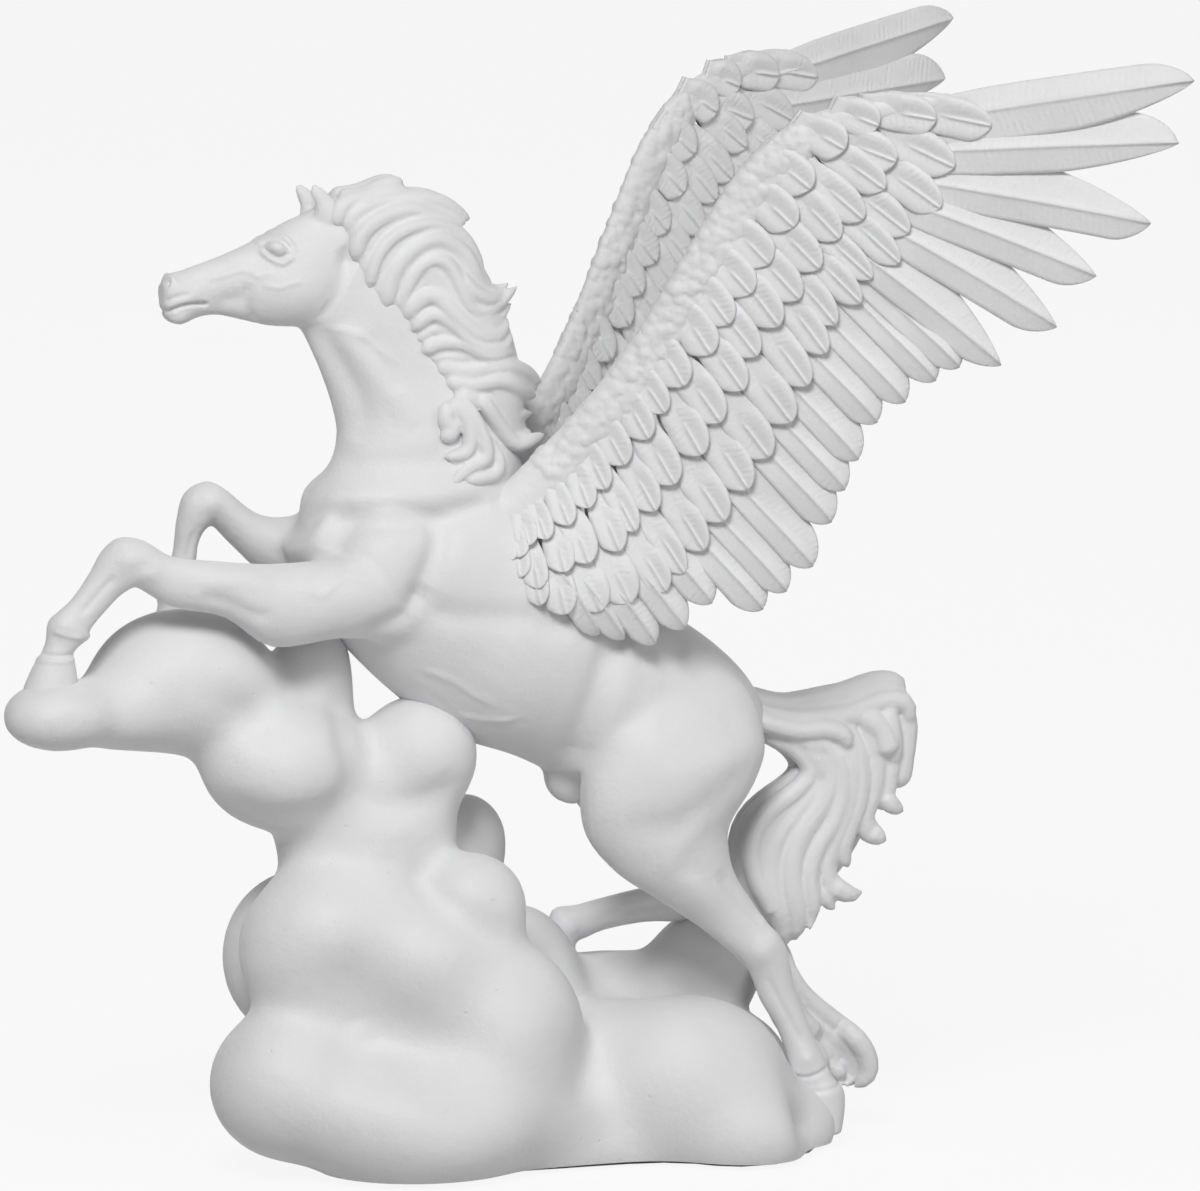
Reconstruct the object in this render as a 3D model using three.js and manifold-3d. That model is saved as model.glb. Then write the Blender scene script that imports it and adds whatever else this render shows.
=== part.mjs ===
// A rearing winged horse on a cloud, cast in bonded marble as separate castings,
// seated on each other and held by steel dowels. Millimetres, +Z up.
// The horse faces -X and its left side is -Y. The origin is the middle of the underside.

import * as THREE from 'three';
import { mergeVertices } from 'three/addons/utils/BufferGeometryUtils.js';
import Module from 'manifold-3d';

const wasm = await Module();
wasm.setup();

// Fits
const seatGap = 0.3;            // glue line between two castings
const pinClearance = 0.3;       // all round a dowel in its hole
const feltThickness = 1.2;
const feltInset = 2.5;          // the felt stops short of the cloud's edge

// Dowels
const neckPinDiameter = 4;
const neckPinLength = 18;
const legPinDiameter = 3;
const legPinLength = 14;
const hoofPinDiameter = 2.4;
const hoofPinLength = 13;
const tailPinDiameter = 2.6;
const tailPinLength = 16;
const wingPinDiameter = 3;
const wingPinLength = 10;
const supportPinDiameter = 4;
const supportPinLength = 20;
const supportPinX = -43;
const supportPinY = 2;
const supportPinZ = 113;
const tailPinX = 51;
const tailPinZ = 89.4;
const tailPinRise = 0.35;       // how steeply it climbs to the rear
const hindFeetOut = 13.5;       // the hind feet, and their dowels, from the middle of the horse
const leftHoofPinX = 56.6;
const leftHoofPinZ = 9.4;
const rightHoofPinX = 16.6;
const rightHoofPinZ = 30.6;

// Wings
const bandHalf = 3.4;           // half thickness of the band behind the leading edge
const bandTaper = 0.35;         // how much thinner it is at the wing's tip
const quillRidge = 0.5;         // height of the shaft along each covert
const covertNotch = 0.5;        // depth of the notch between two coverts, in widths
const rowEnd = 0.34;            // from a row's last shaft to the row's outer edge, in widths
const bladeHalf = 0.3;          // from a feather's shaft to the corner beside its tip, in widths
const flightEdge = 0.7;         // half thickness of a flight feather at its edge
const flightRidge = 0.7;        // height of its shaft above the edge
const tenonLength = 6.5;        // how far the wing's tenon goes into the shoulder
const tenonHalfHeight = 6;
const tenonHalfWidth = 4.2;
const tenonX = -1;
const tenonZ = 126;

// Horse, seen from its left side
const eyeRadius = 2.4;
const eyeX = -53.4;
const eyeZ = 191;
const eyeApart = 10.4;          // between the middles of the two eyes
const earLength = 8;
const earHalfWidth = 2.1;
const earX = -44.6;
const earZ = 199.6;
const earsApart = 5.6;
const shoulderX = -33;          // middle of the shoulder's swelling, and its half sizes
const shoulderZ = 126;
const shoulderOut = 10.5;
const shoulderHalf = [13, 9.5, 15.5];

const marble = { color: 0xe9e9ea, roughness: 0.72, metalness: 0 };
const steel = { color: 0x9a9da1, roughness: 0.35, metalness: 1 };
const felt = { color: 0x24262a, roughness: 0.98, metalness: 0 };

const statue = new THREE.Group();
const v = (x, y, z) => new THREE.Vector3(x, y, z);

// Lofts

// A closed ring of points round a middle, on two half axes.
function ring(middle, halfA, halfB, sides) {
  const points = [];
  for (let i = 0; i < sides; i++) {
    const angle = (i / sides) * 2 * Math.PI;
    points.push(middle.clone()
      .addScaledVector(halfA, Math.cos(angle))
      .addScaledVector(halfB, Math.sin(angle)));
  }
  return points;
}

// Joins rings of equal count into one closed shell, its ends closed round their middles.
function loft(rings) {
  const sides = rings[0].length;
  const positions = [];
  const indices = [];
  rings.forEach((points) => points.forEach((p) => positions.push(p.x, p.y, p.z)));
  for (let r = 0; r + 1 < rings.length; r++) {
    for (let i = 0; i < sides; i++) {
      const a = r * sides + i;
      const b = r * sides + ((i + 1) % sides);
      indices.push(a, b, b + sides, a, b + sides, a + sides);
    }
  }
  const closeEnd = (first, points, flip) => {
    const middle = points.reduce((sum, p) => sum.add(p), v(0, 0, 0)).divideScalar(sides);
    const centre = positions.length / 3;
    positions.push(middle.x, middle.y, middle.z);
    for (let i = 0; i < sides; i++) {
      const a = first + i;
      const b = first + ((i + 1) % sides);
      indices.push(...(flip ? [centre, b, a] : [centre, a, b]));
    }
  };
  closeEnd(0, rings[0], true);
  closeEnd((rings.length - 1) * sides, rings[rings.length - 1], false);
  const geometry = new THREE.BufferGeometry();
  geometry.setAttribute('position', new THREE.Float32BufferAttribute(positions, 3));
  geometry.setIndex(indices);
  return solid(geometry);
}

// A closed three.js geometry as a solid, turned the right way out.
function solid(source) {
  const bare = source.clone();
  bare.deleteAttribute('normal');
  bare.deleteAttribute('uv');
  const geometry = mergeVertices(bare, 1e-4);
  const position = geometry.attributes.position;
  const index = geometry.index;
  const corner = (i) => new THREE.Vector3().fromBufferAttribute(position, index.getX(i));
  const triangles = [];
  let volume = 0;
  for (let i = 0; i < index.count; i += 3) {
    const [a, b, c] = [index.getX(i), index.getX(i + 1), index.getX(i + 2)];
    if (a === b || b === c || c === a) continue;
    triangles.push(a, b, c);
    volume += corner(i).dot(corner(i + 1).cross(corner(i + 2)));
  }
  if (volume < 0) {
    triangles.reverse();
  }
  return new wasm.Manifold(new wasm.Mesh({
    numProp: 3,
    vertProperties: new Float32Array(position.array),
    triVerts: new Uint32Array(triangles),
  }));
}

const join = (solids) => solids.reduce((whole, piece) => whole.add(piece));
const cut = (whole, tools) => tools.reduce((rest, tool) => rest.subtract(tool), whole);

// Adds one casting or fitting to the statue under its own name.
function addPiece(name, shape, finish) {
  const mesh = shape.getMesh();
  const geometry = new THREE.BufferGeometry();
  geometry.setAttribute('position', new THREE.Float32BufferAttribute(mesh.vertProperties, 3));
  geometry.setIndex([...mesh.triVerts]);
  geometry.computeVertexNormals();
  const piece = new THREE.Mesh(geometry, new THREE.MeshStandardMaterial(finish));
  piece.name = name;
  statue.add(piece);
}

// Smooth in-between values for a list of stations, by Catmull-Rom.
function refine(stations, steps) {
  const at = (i) => stations[Math.min(Math.max(i, 0), stations.length - 1)];
  const result = [];
  for (let i = 0; i + 1 < stations.length; i++) {
    for (let s = 0; s < steps; s++) {
      const t = s / steps;
      result.push(stations[i].map((value, k) => {
        const [p0, p1, p2, p3] = [at(i - 1)[k], value, at(i + 1)[k], at(i + 2)[k]];
        return p1 + 0.5 * t * (p2 - p0 + t * (2 * p0 - 5 * p1 + 4 * p2 - p3
          + t * (3 * (p1 - p2) + p3 - p0)));
      }));
    }
  }
  result.push([...at(stations.length - 1)]);
  return result;
}

// Body and limb stations: top x, top z, bottom x, bottom z, y, half width.
function stationRing([topX, topZ, bottomX, bottomZ, y, halfWidth], sides, grow = 0) {
  const top = v(topX, y, topZ);
  const bottom = v(bottomX, y, bottomZ);
  const half = top.clone().sub(bottom).multiplyScalar(0.5);
  half.setLength(half.length() + grow);
  return ring(top.add(bottom).multiplyScalar(0.5), v(0, halfWidth + grow, 0), half, sides);
}

const limb = (stations, sides, grow = 0) =>
  loft(stations.map((station) => stationRing(station, sides, grow)));

const stationMiddle = ([topX, topZ, bottomX, bottomZ, y]) =>
  v((topX + bottomX) / 2, y, (topZ + bottomZ) / 2);

// The direction square to a station's ring, towards the next station.
function stationAxis(stations, index) {
  const [topX, topZ, bottomX, bottomZ] = stations[index];
  const axis = v(bottomZ - topZ, 0, topX - bottomX).normalize();
  const onward = stationMiddle(stations[Math.min(index + 1, stations.length - 1)])
    .sub(stationMiddle(stations[index]));
  return onward.dot(axis) < 0 ? axis.negate() : axis;
}

// The part of a limb past a seam, its seam face set back by the glue line.
function pastSeam(stations, index) {
  const axis = stationAxis(stations, index).multiplyScalar(seatGap);
  const [topX, topZ, bottomX, bottomZ, y, halfWidth] = stations[index];
  const first = [topX + axis.x, topZ + axis.z, bottomX + axis.x, bottomZ + axis.z, y, halfWidth];
  return [first, ...stations.slice(index + 1)];
}

// A round rod between two points.
function rod(from, to, diameter) {
  const along = to.clone().sub(from).normalize();
  const side = Math.abs(along.y) > 0.9 ? v(1, 0, 0) : v(0, 1, 0);
  const a = new THREE.Vector3().crossVectors(along, side).normalize();
  const b = new THREE.Vector3().crossVectors(along, a);
  const circle = (p) => ring(p, a.clone().multiplyScalar(diameter / 2),
    b.clone().multiplyScalar(diameter / 2), 8);
  return loft([circle(from), circle(to)]);
}

// A dowel across a seam and the hole for it, longer and wider by the clearance.
function dowel(middle, axis, diameter, length) {
  const reach = (extra) => [
    middle.clone().addScaledVector(axis, -length / 2 - extra),
    middle.clone().addScaledVector(axis, length / 2 + extra),
  ];
  return {
    pin: rod(...reach(0), diameter),
    hole: rod(...reach(pinClearance), diameter + 2 * pinClearance),
  };
}

// An ellipsoid with its own half sizes.
function puff([x, y, z, halfX, halfY, halfZ], grow = 0, detail = 4) {
  const ball = new THREE.IcosahedronGeometry(1, detail);
  ball.scale(halfX + grow, halfY + grow, halfZ + grow);
  ball.translate(x, y, z);
  return solid(ball);
}

// Trunk and neck

const trunkStations = refine([
  [-45, 141, -53.5, 130, 0, 10],
  [-28.4, 147, -46.8, 118, 0, 15],
  [-10.9, 146.2, -40.2, 109, 0, 18.5],
  [3.4, 138, -30.4, 99.3, 0, 20],
  [13.7, 128, -17.7, 89.7, 0, 21],
  [22.6, 119, -3.8, 84.6, 0, 19.2],
  [30.8, 113.4, 7.1, 79.3, 0, 17.6],
  [39.7, 107.1, 19, 75, 0, 17],
  [46.6, 100.4, 31, 74, 0, 15],
  [51, 93.6, 42.1, 77.5, 0, 9],
], 2);

const neckStations = refine([
  [-33.6, 199, -48.3, 172.9, 0, 6.6],
  [-25, 190.8, -45.5, 167, 0, 7.6],
  [-16.9, 180.1, -42.9, 159.4, 0, 8.6],
  [-10.4, 168.3, -42, 152.9, 0, 10],
  [-4.7, 156.5, -44.2, 146.5, 0, 12.5],
  [-1, 144, -49.5, 139.6, 0, 15],
  [4, 128, -51, 128, 0, 16],
], 2);

// Head, from the muzzle to the seam behind the cheek

const headStations = [
  [-79.9, 186.6, -80.1, 182.6, 0, 2.2],
  [-79, 188.5, -79, 179.4, 0, 3.5],
  [-75.8, 189.3, -75.9, 178.1, 0, 3.9],
  [-72.4, 190.4, -72, 179.5, 0, 3.7],
  [-67.2, 192.1, -67.7, 179.8, 0, 4.2],
  [-61.4, 194.4, -61.4, 178.3, 0, 5.2],
  [-57.3, 196.3, -56.7, 177.3, 0, 6.4],
  [-53.8, 198.4, -51.1, 176.9, 0, 7],
  [-50.3, 199.9, -46.3, 177.3, 0, 7],
  [-46.4, 201.4, -44.4, 179.8, 0, 6.4],
  [-42.1, 202.3, -42.6, 184.4, 0, 5.6],
];

const pollStations = [
  [-48, 199.5, -49.5, 180.6, 0, 5.2],
  [-41, 202, -49.8, 176.3, 0, 5.8],
  neckStations[0],
];

// Legs, from inside the trunk to the hoof

const leftForeStations = [
  [-25, 128, -24, 114, -9, 4.5],
  [-36, 132, -34, 111.6, -11.5, 7.6],
  [-47.7, 129.9, -46, 113.1, -13.5, 8],
  [-61.4, 129.4, -60.6, 112, -14.5, 6.6],
  [-72.1, 130.4, -70.7, 118.6, -14.5, 4.8],
  [-81.9, 131.8, -81.9, 121.2, -14, 4],
  [-87.6, 135.2, -89.1, 125.4, -13.4, 4.2],
  [-92.8, 136, -91, 125, -13, 4.2],
  [-96.4, 133.2, -93, 123.6, -12.5, 3.8],
  [-98.8, 129.2, -95.4, 121.2, -12.5, 3.2],
  [-102.5, 124, -98, 118.4, -12.5, 2.7],
  [-105.6, 121.1, -99.4, 116.1, -12.2, 3],
  [-107.9, 118.7, -98.9, 115.4, -12, 3.5],
  [-108.5, 114.3, -102.4, 112.6, -12, 2.9],
  [-111.2, 109.6, -102, 109, -12, 4],
  [-113.4, 104, -101.6, 104, -12, 4.9],
  [-112.6, 98, -102, 98, -12, 4.4],
];

const rightForeStations = [
  [-28, 132, -28, 120, 8, 4.5],
  [-38, 137, -40.2, 120, 9, 7.4],
  [-50.4, 135.5, -54, 123.4, 11, 6],
  [-56.6, 136.8, -61.2, 129.5, 12, 4.6],
  [-63.2, 142, -65.1, 133.6, 12, 4.2],
  [-67.1, 143.5, -66.4, 134.1, 12, 4.2],
  [-71.6, 141.2, -67.9, 132.7, 12, 3.9],
  [-73.4, 135.3, -69, 130, 12, 3.1],
  [-74.2, 129, -69.3, 127.1, 12, 2.7],
  [-76, 124.2, -71, 122.9, 12, 3],
  [-77.9, 120.7, -71.7, 119.4, 12, 3.4],
  [-77.5, 117.7, -72.3, 116.7, 12, 3],
  [-78.8, 113.4, -71.5, 112.8, 12, 4],
  [-79.3, 108, -71.1, 108, 12, 4.4],
];

const leftHindStations = [
  [22, 107, 39, 105, -6, 5],
  [12.6, 98.8, 45.3, 97.3, -9, 8],
  [9.3, 87.6, 47.7, 87.1, -12, 11.2],
  [7.3, 78.2, 45.1, 78.9, -13, 11.2],
  [8.5, 68.5, 39.8, 70.2, -13, 9.4],
  [14.8, 60.6, 39.4, 64.3, -13.5, 7.5],
  [22.7, 55.2, 41, 58.9, -13.5, 6.2],
  [32, 48.9, 44.5, 53.4, -13.5, 4.8],
  [38.1, 44, 48.5, 47.9, -13.5, 4.3],
  [43.9, 38.4, 52.1, 43.3, -13.5, 4.2],
  [46.6, 31.9, 54.1, 34.7, -13.5, 3.3],
  [50.4, 25.5, 56.6, 27.9, -13.5, 2.9],
  [52.4, 20, 59.1, 22.2, -13.5, 3],
  [53.5, 15.2, 61.1, 18.2, -13.5, 3.6],
  [55.5, 13, 62.5, 15, -13.5, 3.3],
  [56, 10.5, 65.1, 11.8, -13.5, 4.3],
  [57.6, 6.4, 65.2, 7.4, -13.5, 4.6],
  [60, 2.4, 64.4, 2.8, -13.5, 4],
];

const rightHindStations = [
  [22, 107, 39, 105, 6, 5],
  [11.8, 97.4, 44, 97, 9, 8],
  [9.8, 87.6, 46.9, 89.1, 12, 11.2],
  [11.1, 77.7, 46.3, 81, 13, 11.2],
  [17.5, 67.7, 43.8, 72.8, 13, 9.4],
  [25.5, 60.8, 44.9, 66.7, 13.5, 7.5],
  [33.3, 56.5, 47.2, 61.4, 13.5, 6],
  [38.6, 53.4, 50.4, 56.2, 13.5, 4.8],
  [38, 52.2, 50, 48.4, 13.5, 4.4],
  [35.6, 52.8, 40.4, 45, 13.5, 3.6],
  [28.7, 52.4, 29.9, 45.1, 13.5, 3.1],
  [19.7, 50.7, 21.2, 44, 13.5, 2.9],
  [14.6, 49.6, 16.8, 42.5, 13.5, 3.1],
  [9.7, 49, 14.5, 41.6, 13.5, 3.5],
  [8.4, 45.2, 14.4, 40.2, 13.5, 3.2],
  [8.5, 40.8, 15.9, 37.4, 13.5, 3.9],
  [10.3, 35.8, 19, 33.8, 13.5, 4.5],
  [13, 30.5, 20.6, 29.7, 13.5, 4.2],
];

const limbs = [
  { name: 'left_foreleg', stations: leftForeStations, seam: 3 },
  { name: 'right_foreleg', stations: rightForeStations, seam: 3 },
  { name: 'left_hind_leg', stations: leftHindStations, seam: 5 },
  { name: 'right_hind_leg', stations: rightHindStations, seam: 5 },
];
const legSides = 10;

for (const leg of limbs) {
  leg.upper = leg.stations.slice(0, leg.seam + 1);
  leg.lower = pastSeam(leg.stations, leg.seam);
  const axis = stationAxis(leg.stations, leg.seam);
  leg.dowel = dowel(stationMiddle(leg.stations[leg.seam]), axis, legPinDiameter, legPinLength);
}

// Wings. A wing is drawn in side view, x and z, and laid on a sheet that leans out to the rear
// and swells over the shoulder. Height is measured off the sheet, outwards.

const rootInset = 3;            // the sheet's middle, in from the outside of the shoulder
const rootDepth = shoulderOut + shoulderHalf[1] - rootInset;
const rearFlare = 0.48;
const upFlare = 0.06;
const flareX = 10;              // where the sheet is as far out as the root
const flareZ = 164;
const swellHeight = 12;
const swellRadius = 22;
const swellX = -6;
const swellZ = 119;

function sheetDepth(x, z) {
  const fromSwell = ((x - swellX) ** 2 + (z - swellZ) ** 2) / swellRadius ** 2;
  return rootDepth + rearFlare * (x - flareX) + upFlare * (z - flareZ)
    + swellHeight * Math.exp(-fromSwell);
}

const onWing = (x, z, height) => v(x, -sheetDepth(x, z) - height, z);

// Value of a list of [place, value, ...] rows at a place between them.
function between(rows, place) {
  let i = 0;
  while (i + 2 < rows.length && place > rows[i + 1][0]) i++;
  const share = (place - rows[i][0]) / (rows[i + 1][0] - rows[i][0]);
  const clamped = Math.min(Math.max(share, 0), 1);
  return rows[i].slice(1).map((value, k) => value + (rows[i + 1][k + 1] - value) * clamped);
}

// Leading edge x, z and the line under the row of great coverts x, z.
const bandStations = [
  [-12.5, 139, -8, 127],
  [-5.6, 146.3, 3, 122],
  [2.4, 154.7, 16, 124],
  [9.9, 164.2, 26, 132],
  [17.3, 175.9, 34, 144],
  [24.6, 189.7, 42, 158],
  [31.9, 203.5, 50, 174],
  [36.5, 210.9, 56, 185],
  [44.7, 219.6, 62, 195],
  [55.9, 224.6, 68, 205],
  [65.2, 226, 74, 214],
  [74.5, 227, 80, 221],
];

// Share of the chord and share of the full half thickness, round the leading band.
const bandSection = [[0, 0.1], [0.05, 0.75], [0.2, 1], [0.36, 0.95]];

function leadingBand() {
  return loft(bandStations.map(([leadX, leadZ, trailX, trailZ], i) => {
    const thin = 1 - bandTaper * (i / (bandStations.length - 1));
    const at = ([share, part], face) => onWing(leadX + (trailX - leadX) * share,
      leadZ + (trailZ - leadZ) * share, face * part * bandHalf * thin);
    const outer = bandSection.map((point) => at(point, 1));
    const inner = bandSection.map((point) => at(point, -1)).reverse();
    return [...outer, ...inner];
  }));
}

// Rows of coverts, the greater ones first. The line gives tip x, tip z, the feather's angle,
// length and width at points along the row.
const covertRows = [
  {
    count: 18,
    rootHalf: 1.1,
    tipHalf: 2,
    line: [
      [-3.2, 122.3, -66, 13, 7], [8.8, 116.9, -62, 15, 7.4], [23, 121, -60, 17, 7.4],
      [38.3, 142.6, -57, 18, 7.6], [49.2, 164.7, -54, 18, 7.8], [60.8, 187.4, -50, 18, 8],
      [75.7, 210.2, -38, 18, 8.4], [82.5, 219.9, -14, 16, 8],
    ],
  },
  {
    count: 15,
    rootHalf: 1.7,
    tipHalf: 2.6,
    line: [
      [-7.9, 128.1, -68, 11, 6], [1.9, 126.2, -64, 12, 6.2], [13.5, 129.3, -60, 13, 6.4],
      [30, 149.6, -57, 14, 6.6], [43.5, 177, -54, 14, 6.6], [59, 199.7, -46, 14, 6.8],
      [72.1, 220, -20, 14, 6.8],
    ],
  },
  {
    count: 11,
    rootHalf: 2.3,
    tipHalf: 3.1,
    line: [
      [-4, 133, -64, 10, 5.4], [8.7, 138.4, -60, 11, 5.6], [22.9, 158.3, -56, 12, 5.8],
      [34.3, 177.3, -54, 12, 6], [46.1, 197.8, -46, 12, 6.2], [57.5, 214, -32, 12, 6.2],
    ],
  },
];

// Flight feathers from the root to the tip: tip x, tip z, angle, length, width, notch.
const flightFeathers = [
  [15.1, 110.2, -52, 14, 8, 0.4], [21.8, 109, -52, 18, 8, 0.4], [27.5, 112.2, -52, 20, 8.4, 0.4],
  [32.7, 117.8, -52, 20, 8.4, 0.5], [42.6, 116.8, -51, 26, 8.6, 0.5], [46.5, 120.7, -51, 26, 8.6, 0.5],
  [51.5, 126.1, -51, 26, 8.8, 0.5], [54.9, 135.9, -51, 24, 8.8, 0.5], [57.4, 142.7, -51, 24, 8.8, 0.5],
  [59.7, 148.8, -51, 24, 8.8, 0.5], [63.1, 156.9, -50, 24, 9, 0.5], [68.3, 161.2, -50, 26, 9, 0.5],
  [73.9, 165.9, -48, 28, 9.2, 0.5], [77.9, 168.5, -46, 33, 9.4, 0.7], [86.1, 169.2, -42, 39, 10, 0.9],
  [95.3, 178.1, -33, 43, 10.6, 0.9], [102.1, 188.9, -23, 45, 11.4, 0.85],
  [111.4, 199.9, -11, 48, 11.6, 0.75], [116.3, 216.9, 2, 48, 12, 0.7], [120.5, 230, 8.5, 50, 13.6, 0.7],
];

const radians = THREE.MathUtils.degToRad;
const shaftPlace = 0.3;         // the shaft's highest point, in lengths from the tip

// The feathers of a row of coverts, spread evenly along its line.
function quillsAlong({ count, line }) {
  const places = line.map((point, k) => [k / (line.length - 1), ...point]);
  return Array.from({ length: count }, (_, i) =>
    [...between(places, i / (count - 1)), covertNotch]);
}

// A row of feathers as one scalloped sheet, alike on both faces, its upper edge hidden under
// the next row. Each feather has a raised shaft, a corner on each side of its tip, and notches.
// Only a pointed feather has a point between the two corners.
function featherRow(quills, { rootHalf, tipHalf, ridge, cornerBack, pointed }) {
  const shift = ([x, z, angle], back, across, height) => {
    const [dx, dz] = [Math.cos(radians(angle)), Math.sin(radians(angle))];
    return [x - dx * back - dz * across, z - dz * back + dx * across, height];
  };
  const top = [];
  const triangles = [];
  const add = (point) => top.push(point) - 1;
  const last = quills.length - 1;
  const seams = Array.from({ length: quills.length + 1 }, (_, i) => {
    const [before, after] = [quills[Math.max(i - 1, 0)], quills[Math.min(i, last)]];
    const middle = before.map((value, k) => (value + after[k]) / 2);
    const [, , , length, width, notch] = middle;
    const outermost = Number(i > last) - Number(i === 0);
    const edge = outermost * rowEnd * width;
    return {
      notch: add(shift(middle, notch * width, edge, tipHalf)),
      hidden: add(shift(middle, length, edge, rootHalf)),
    };
  });
  const rim = [];
  quills.forEach((quill, i) => {
    const [, , , length, width] = quill;
    const corner = (side) => add(shift(quill, cornerBack * width, side * bladeHalf * width, tipHalf));
    const tip = [corner(-1), ...(pointed ? [add(shift(quill, 0, 0, tipHalf))] : []), corner(1)];
    const shaft = add(shift(quill, shaftPlace * length, 0, tipHalf + ridge));
    const edges = [seams[i].hidden, seams[i].notch, ...tip, seams[i + 1].notch, seams[i + 1].hidden];
    edges.forEach((point, k) => triangles.push([shaft, point, edges[(k + 1) % edges.length]]));
    rim.push(seams[i].notch, ...tip);
  });
  rim.push(seams[last + 1].notch, ...seams.map((seam) => seam.hidden).reverse());
  const under = top.length;
  const points = [1, -1].flatMap((face) => top.map(([x, z, height]) => onWing(x, z, face * height)));
  const indices = triangles.flatMap(([a, b, c]) => [a, b, c, under + a, under + c, under + b]);
  rim.forEach((a, k) => {
    const b = rim[(k + 1) % rim.length];
    indices.push(a, under + a, b, b, under + a, under + b);
  });
  const geometry = new THREE.BufferGeometry();
  geometry.setAttribute('position',
    new THREE.Float32BufferAttribute(points.flatMap((p) => p.toArray()), 3));
  geometry.setIndex(indices);
  return solid(geometry);
}

const wingRows = () => [
  leadingBand(),
  ...covertRows.map((row) =>
    featherRow(quillsAlong(row), { ...row, ridge: quillRidge, cornerBack: 0, pointed: false })),
  featherRow(flightFeathers, {
    rootHalf: flightEdge,
    tipHalf: flightEdge,
    ridge: flightRidge,
    cornerBack: 0.4,
    pointed: true,
  }),
];

// The tenon under the wing root, square to the horse's side.
function tenon(grow) {
  const outer = -sheetDepth(tenonX, tenonZ);
  const oval = (y) => ring(v(tenonX, y, tenonZ), v(tenonHalfWidth + grow, 0, 0),
    v(0, 0, tenonHalfHeight + grow), 12);
  return loft([oval(outer), oval(outer + tenonLength + grow)]);
}

const tenonEnd = tenonLength - sheetDepth(tenonX, tenonZ);
const wingDowel = dowel(v(tenonX, tenonEnd, tenonZ), v(0, 1, 0), wingPinDiameter, wingPinLength);

// Mirror image of a solid on the horse's other side.
function mirrored(shape) {
  const mesh = shape.getMesh();
  const geometry = new THREE.BufferGeometry();
  geometry.setAttribute('position', new THREE.Float32BufferAttribute(mesh.vertProperties, 3));
  geometry.setIndex([...mesh.triVerts]);
  geometry.scale(1, -1, 1);
  return solid(geometry);
}

// Hair. A lock is a flattened sweep: x, y, z, half height and half depth at each station.

function lock(stations, sides = 4, steps = 2) {
  const fine = refine(stations, steps);
  return loft(fine.map(([x, y, z, halfHeight, halfDepth], i) => {
    const before = fine[Math.max(i - 1, 0)];
    const after = fine[Math.min(i + 1, fine.length - 1)];
    const along = v(after[0] - before[0], 0, after[2] - before[2]).normalize();
    const across = v(-along.z, 0, along.x);
    return ring(v(x, y, z), across.multiplyScalar(halfHeight), v(0, halfDepth, 0), sides);
  }));
}

const crestMass = [
  [-43, -0.5, 198.5, 3.4, 5],
  [-35, -1, 197.5, 7.6, 7.6],
  [-26, -1, 191.5, 10.6, 9],
  [-19.5, -1, 182, 11.6, 10],
  [-14.5, -1, 172, 11, 11.4],
  [-10.5, -1, 162, 10, 11.6],
  [-6, -0.5, 153, 7.8, 8],
  [0, 0, 146, 3.6, 5],
];

const maneLocks = [
  [[-41, 0, 202, 3, 3], [-33.5, 0, 203.4, 2.4, 3], [-27, 0, 203.4, 0.6, 0.8]],
  [[-37, -2, 200, 4, 4], [-26, -3, 200.4, 3, 4], [-17.5, -3, 199.8, 2, 2.5],
    [-11.6, -3, 197.6, 0.6, 0.7]],
  [[-33, 2, 198, 4, 4], [-20, 3, 197, 3.4, 4], [-12.4, 3, 194.6, 2, 2.6], [-8.8, 3, 192, 0.6, 0.7]],
  [[-30, -4, 194, 4, 4], [-17, -5, 192.5, 3.4, 4], [-8, -4, 188.4, 2.4, 3], [-5, -4, 184.6, 0.7, 0.8]],
  [[-24, 3, 190, 4, 4], [-11, 3, 186.5, 3, 4], [-5, 2, 183, 1.8, 2.6], [-0.8, 1, 182.8, 0.6, 0.7]],
  [[-21, -5, 184, 4, 4], [-11, -6, 180, 3.4, 3.6], [-5, -5, 176.6, 2.2, 2.6], [-3.6, -4, 172.8, 0.7, 0.8]],
  [[-16, 3, 178, 4, 4], [-8, 3, 173.6, 3.2, 3.6], [-3.6, 3, 171, 1.8, 2.4], [-2.8, 2, 167.6, 0.7, 0.8]],
  [[-14, -5, 172, 4, 4], [-6, -5, 166.4, 3.4, 3.4], [1, -3, 165, 2, 2.4], [4.4, -2, 163, 0.7, 0.8]],
  [[-9, -4, 163, 4, 4], [-2, -4, 158, 3.4, 3.4], [3, -2, 154.6, 1.6, 2], [5, -1, 152, 0.7, 0.8]],
  [[-10, -7, 160, 3, 4], [-14, -10.5, 155, 3, 3.4], [-17.5, -12.5, 149, 2.4, 2.4],
    [-18.6, -13.4, 143, 0.8, 1]],
  [[-8, -6, 153, 3, 3], [-11, -11, 148, 2.6, 2.8], [-14.4, -13, 143, 1.8, 2],
    [-16.6, -13.8, 139.4, 0.7, 0.8]],
];

// The tail's mass, which passes behind the left hock, and the locks over it.
const tailMass = [
  [48, 0, 91, 3.6, 4.4],
  [58, 0, 88.4, 5.2, 5.6],
  [67.5, 1, 86.5, 9, 6.6],
  [72.5, 1, 77.5, 11, 7],
  [67, 1, 68.5, 14.2, 7],
  [61.5, 1, 60, 14.4, 7],
  [58.2, 1, 51, 9, 6.4],
  [55.6, 2, 44, 4.6, 4],
  [55, 3, 37.5, 4, 3.6],
  [58, 3, 31, 4, 3.6],
  [63.4, 3.5, 24, 4.6, 3.8],
  [70, 4, 18, 5.4, 3.8],
  [73, 4, 12.4, 4.4, 3.4],
  [72.4, 4, 8.4, 1.6, 1.4],
];

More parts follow.
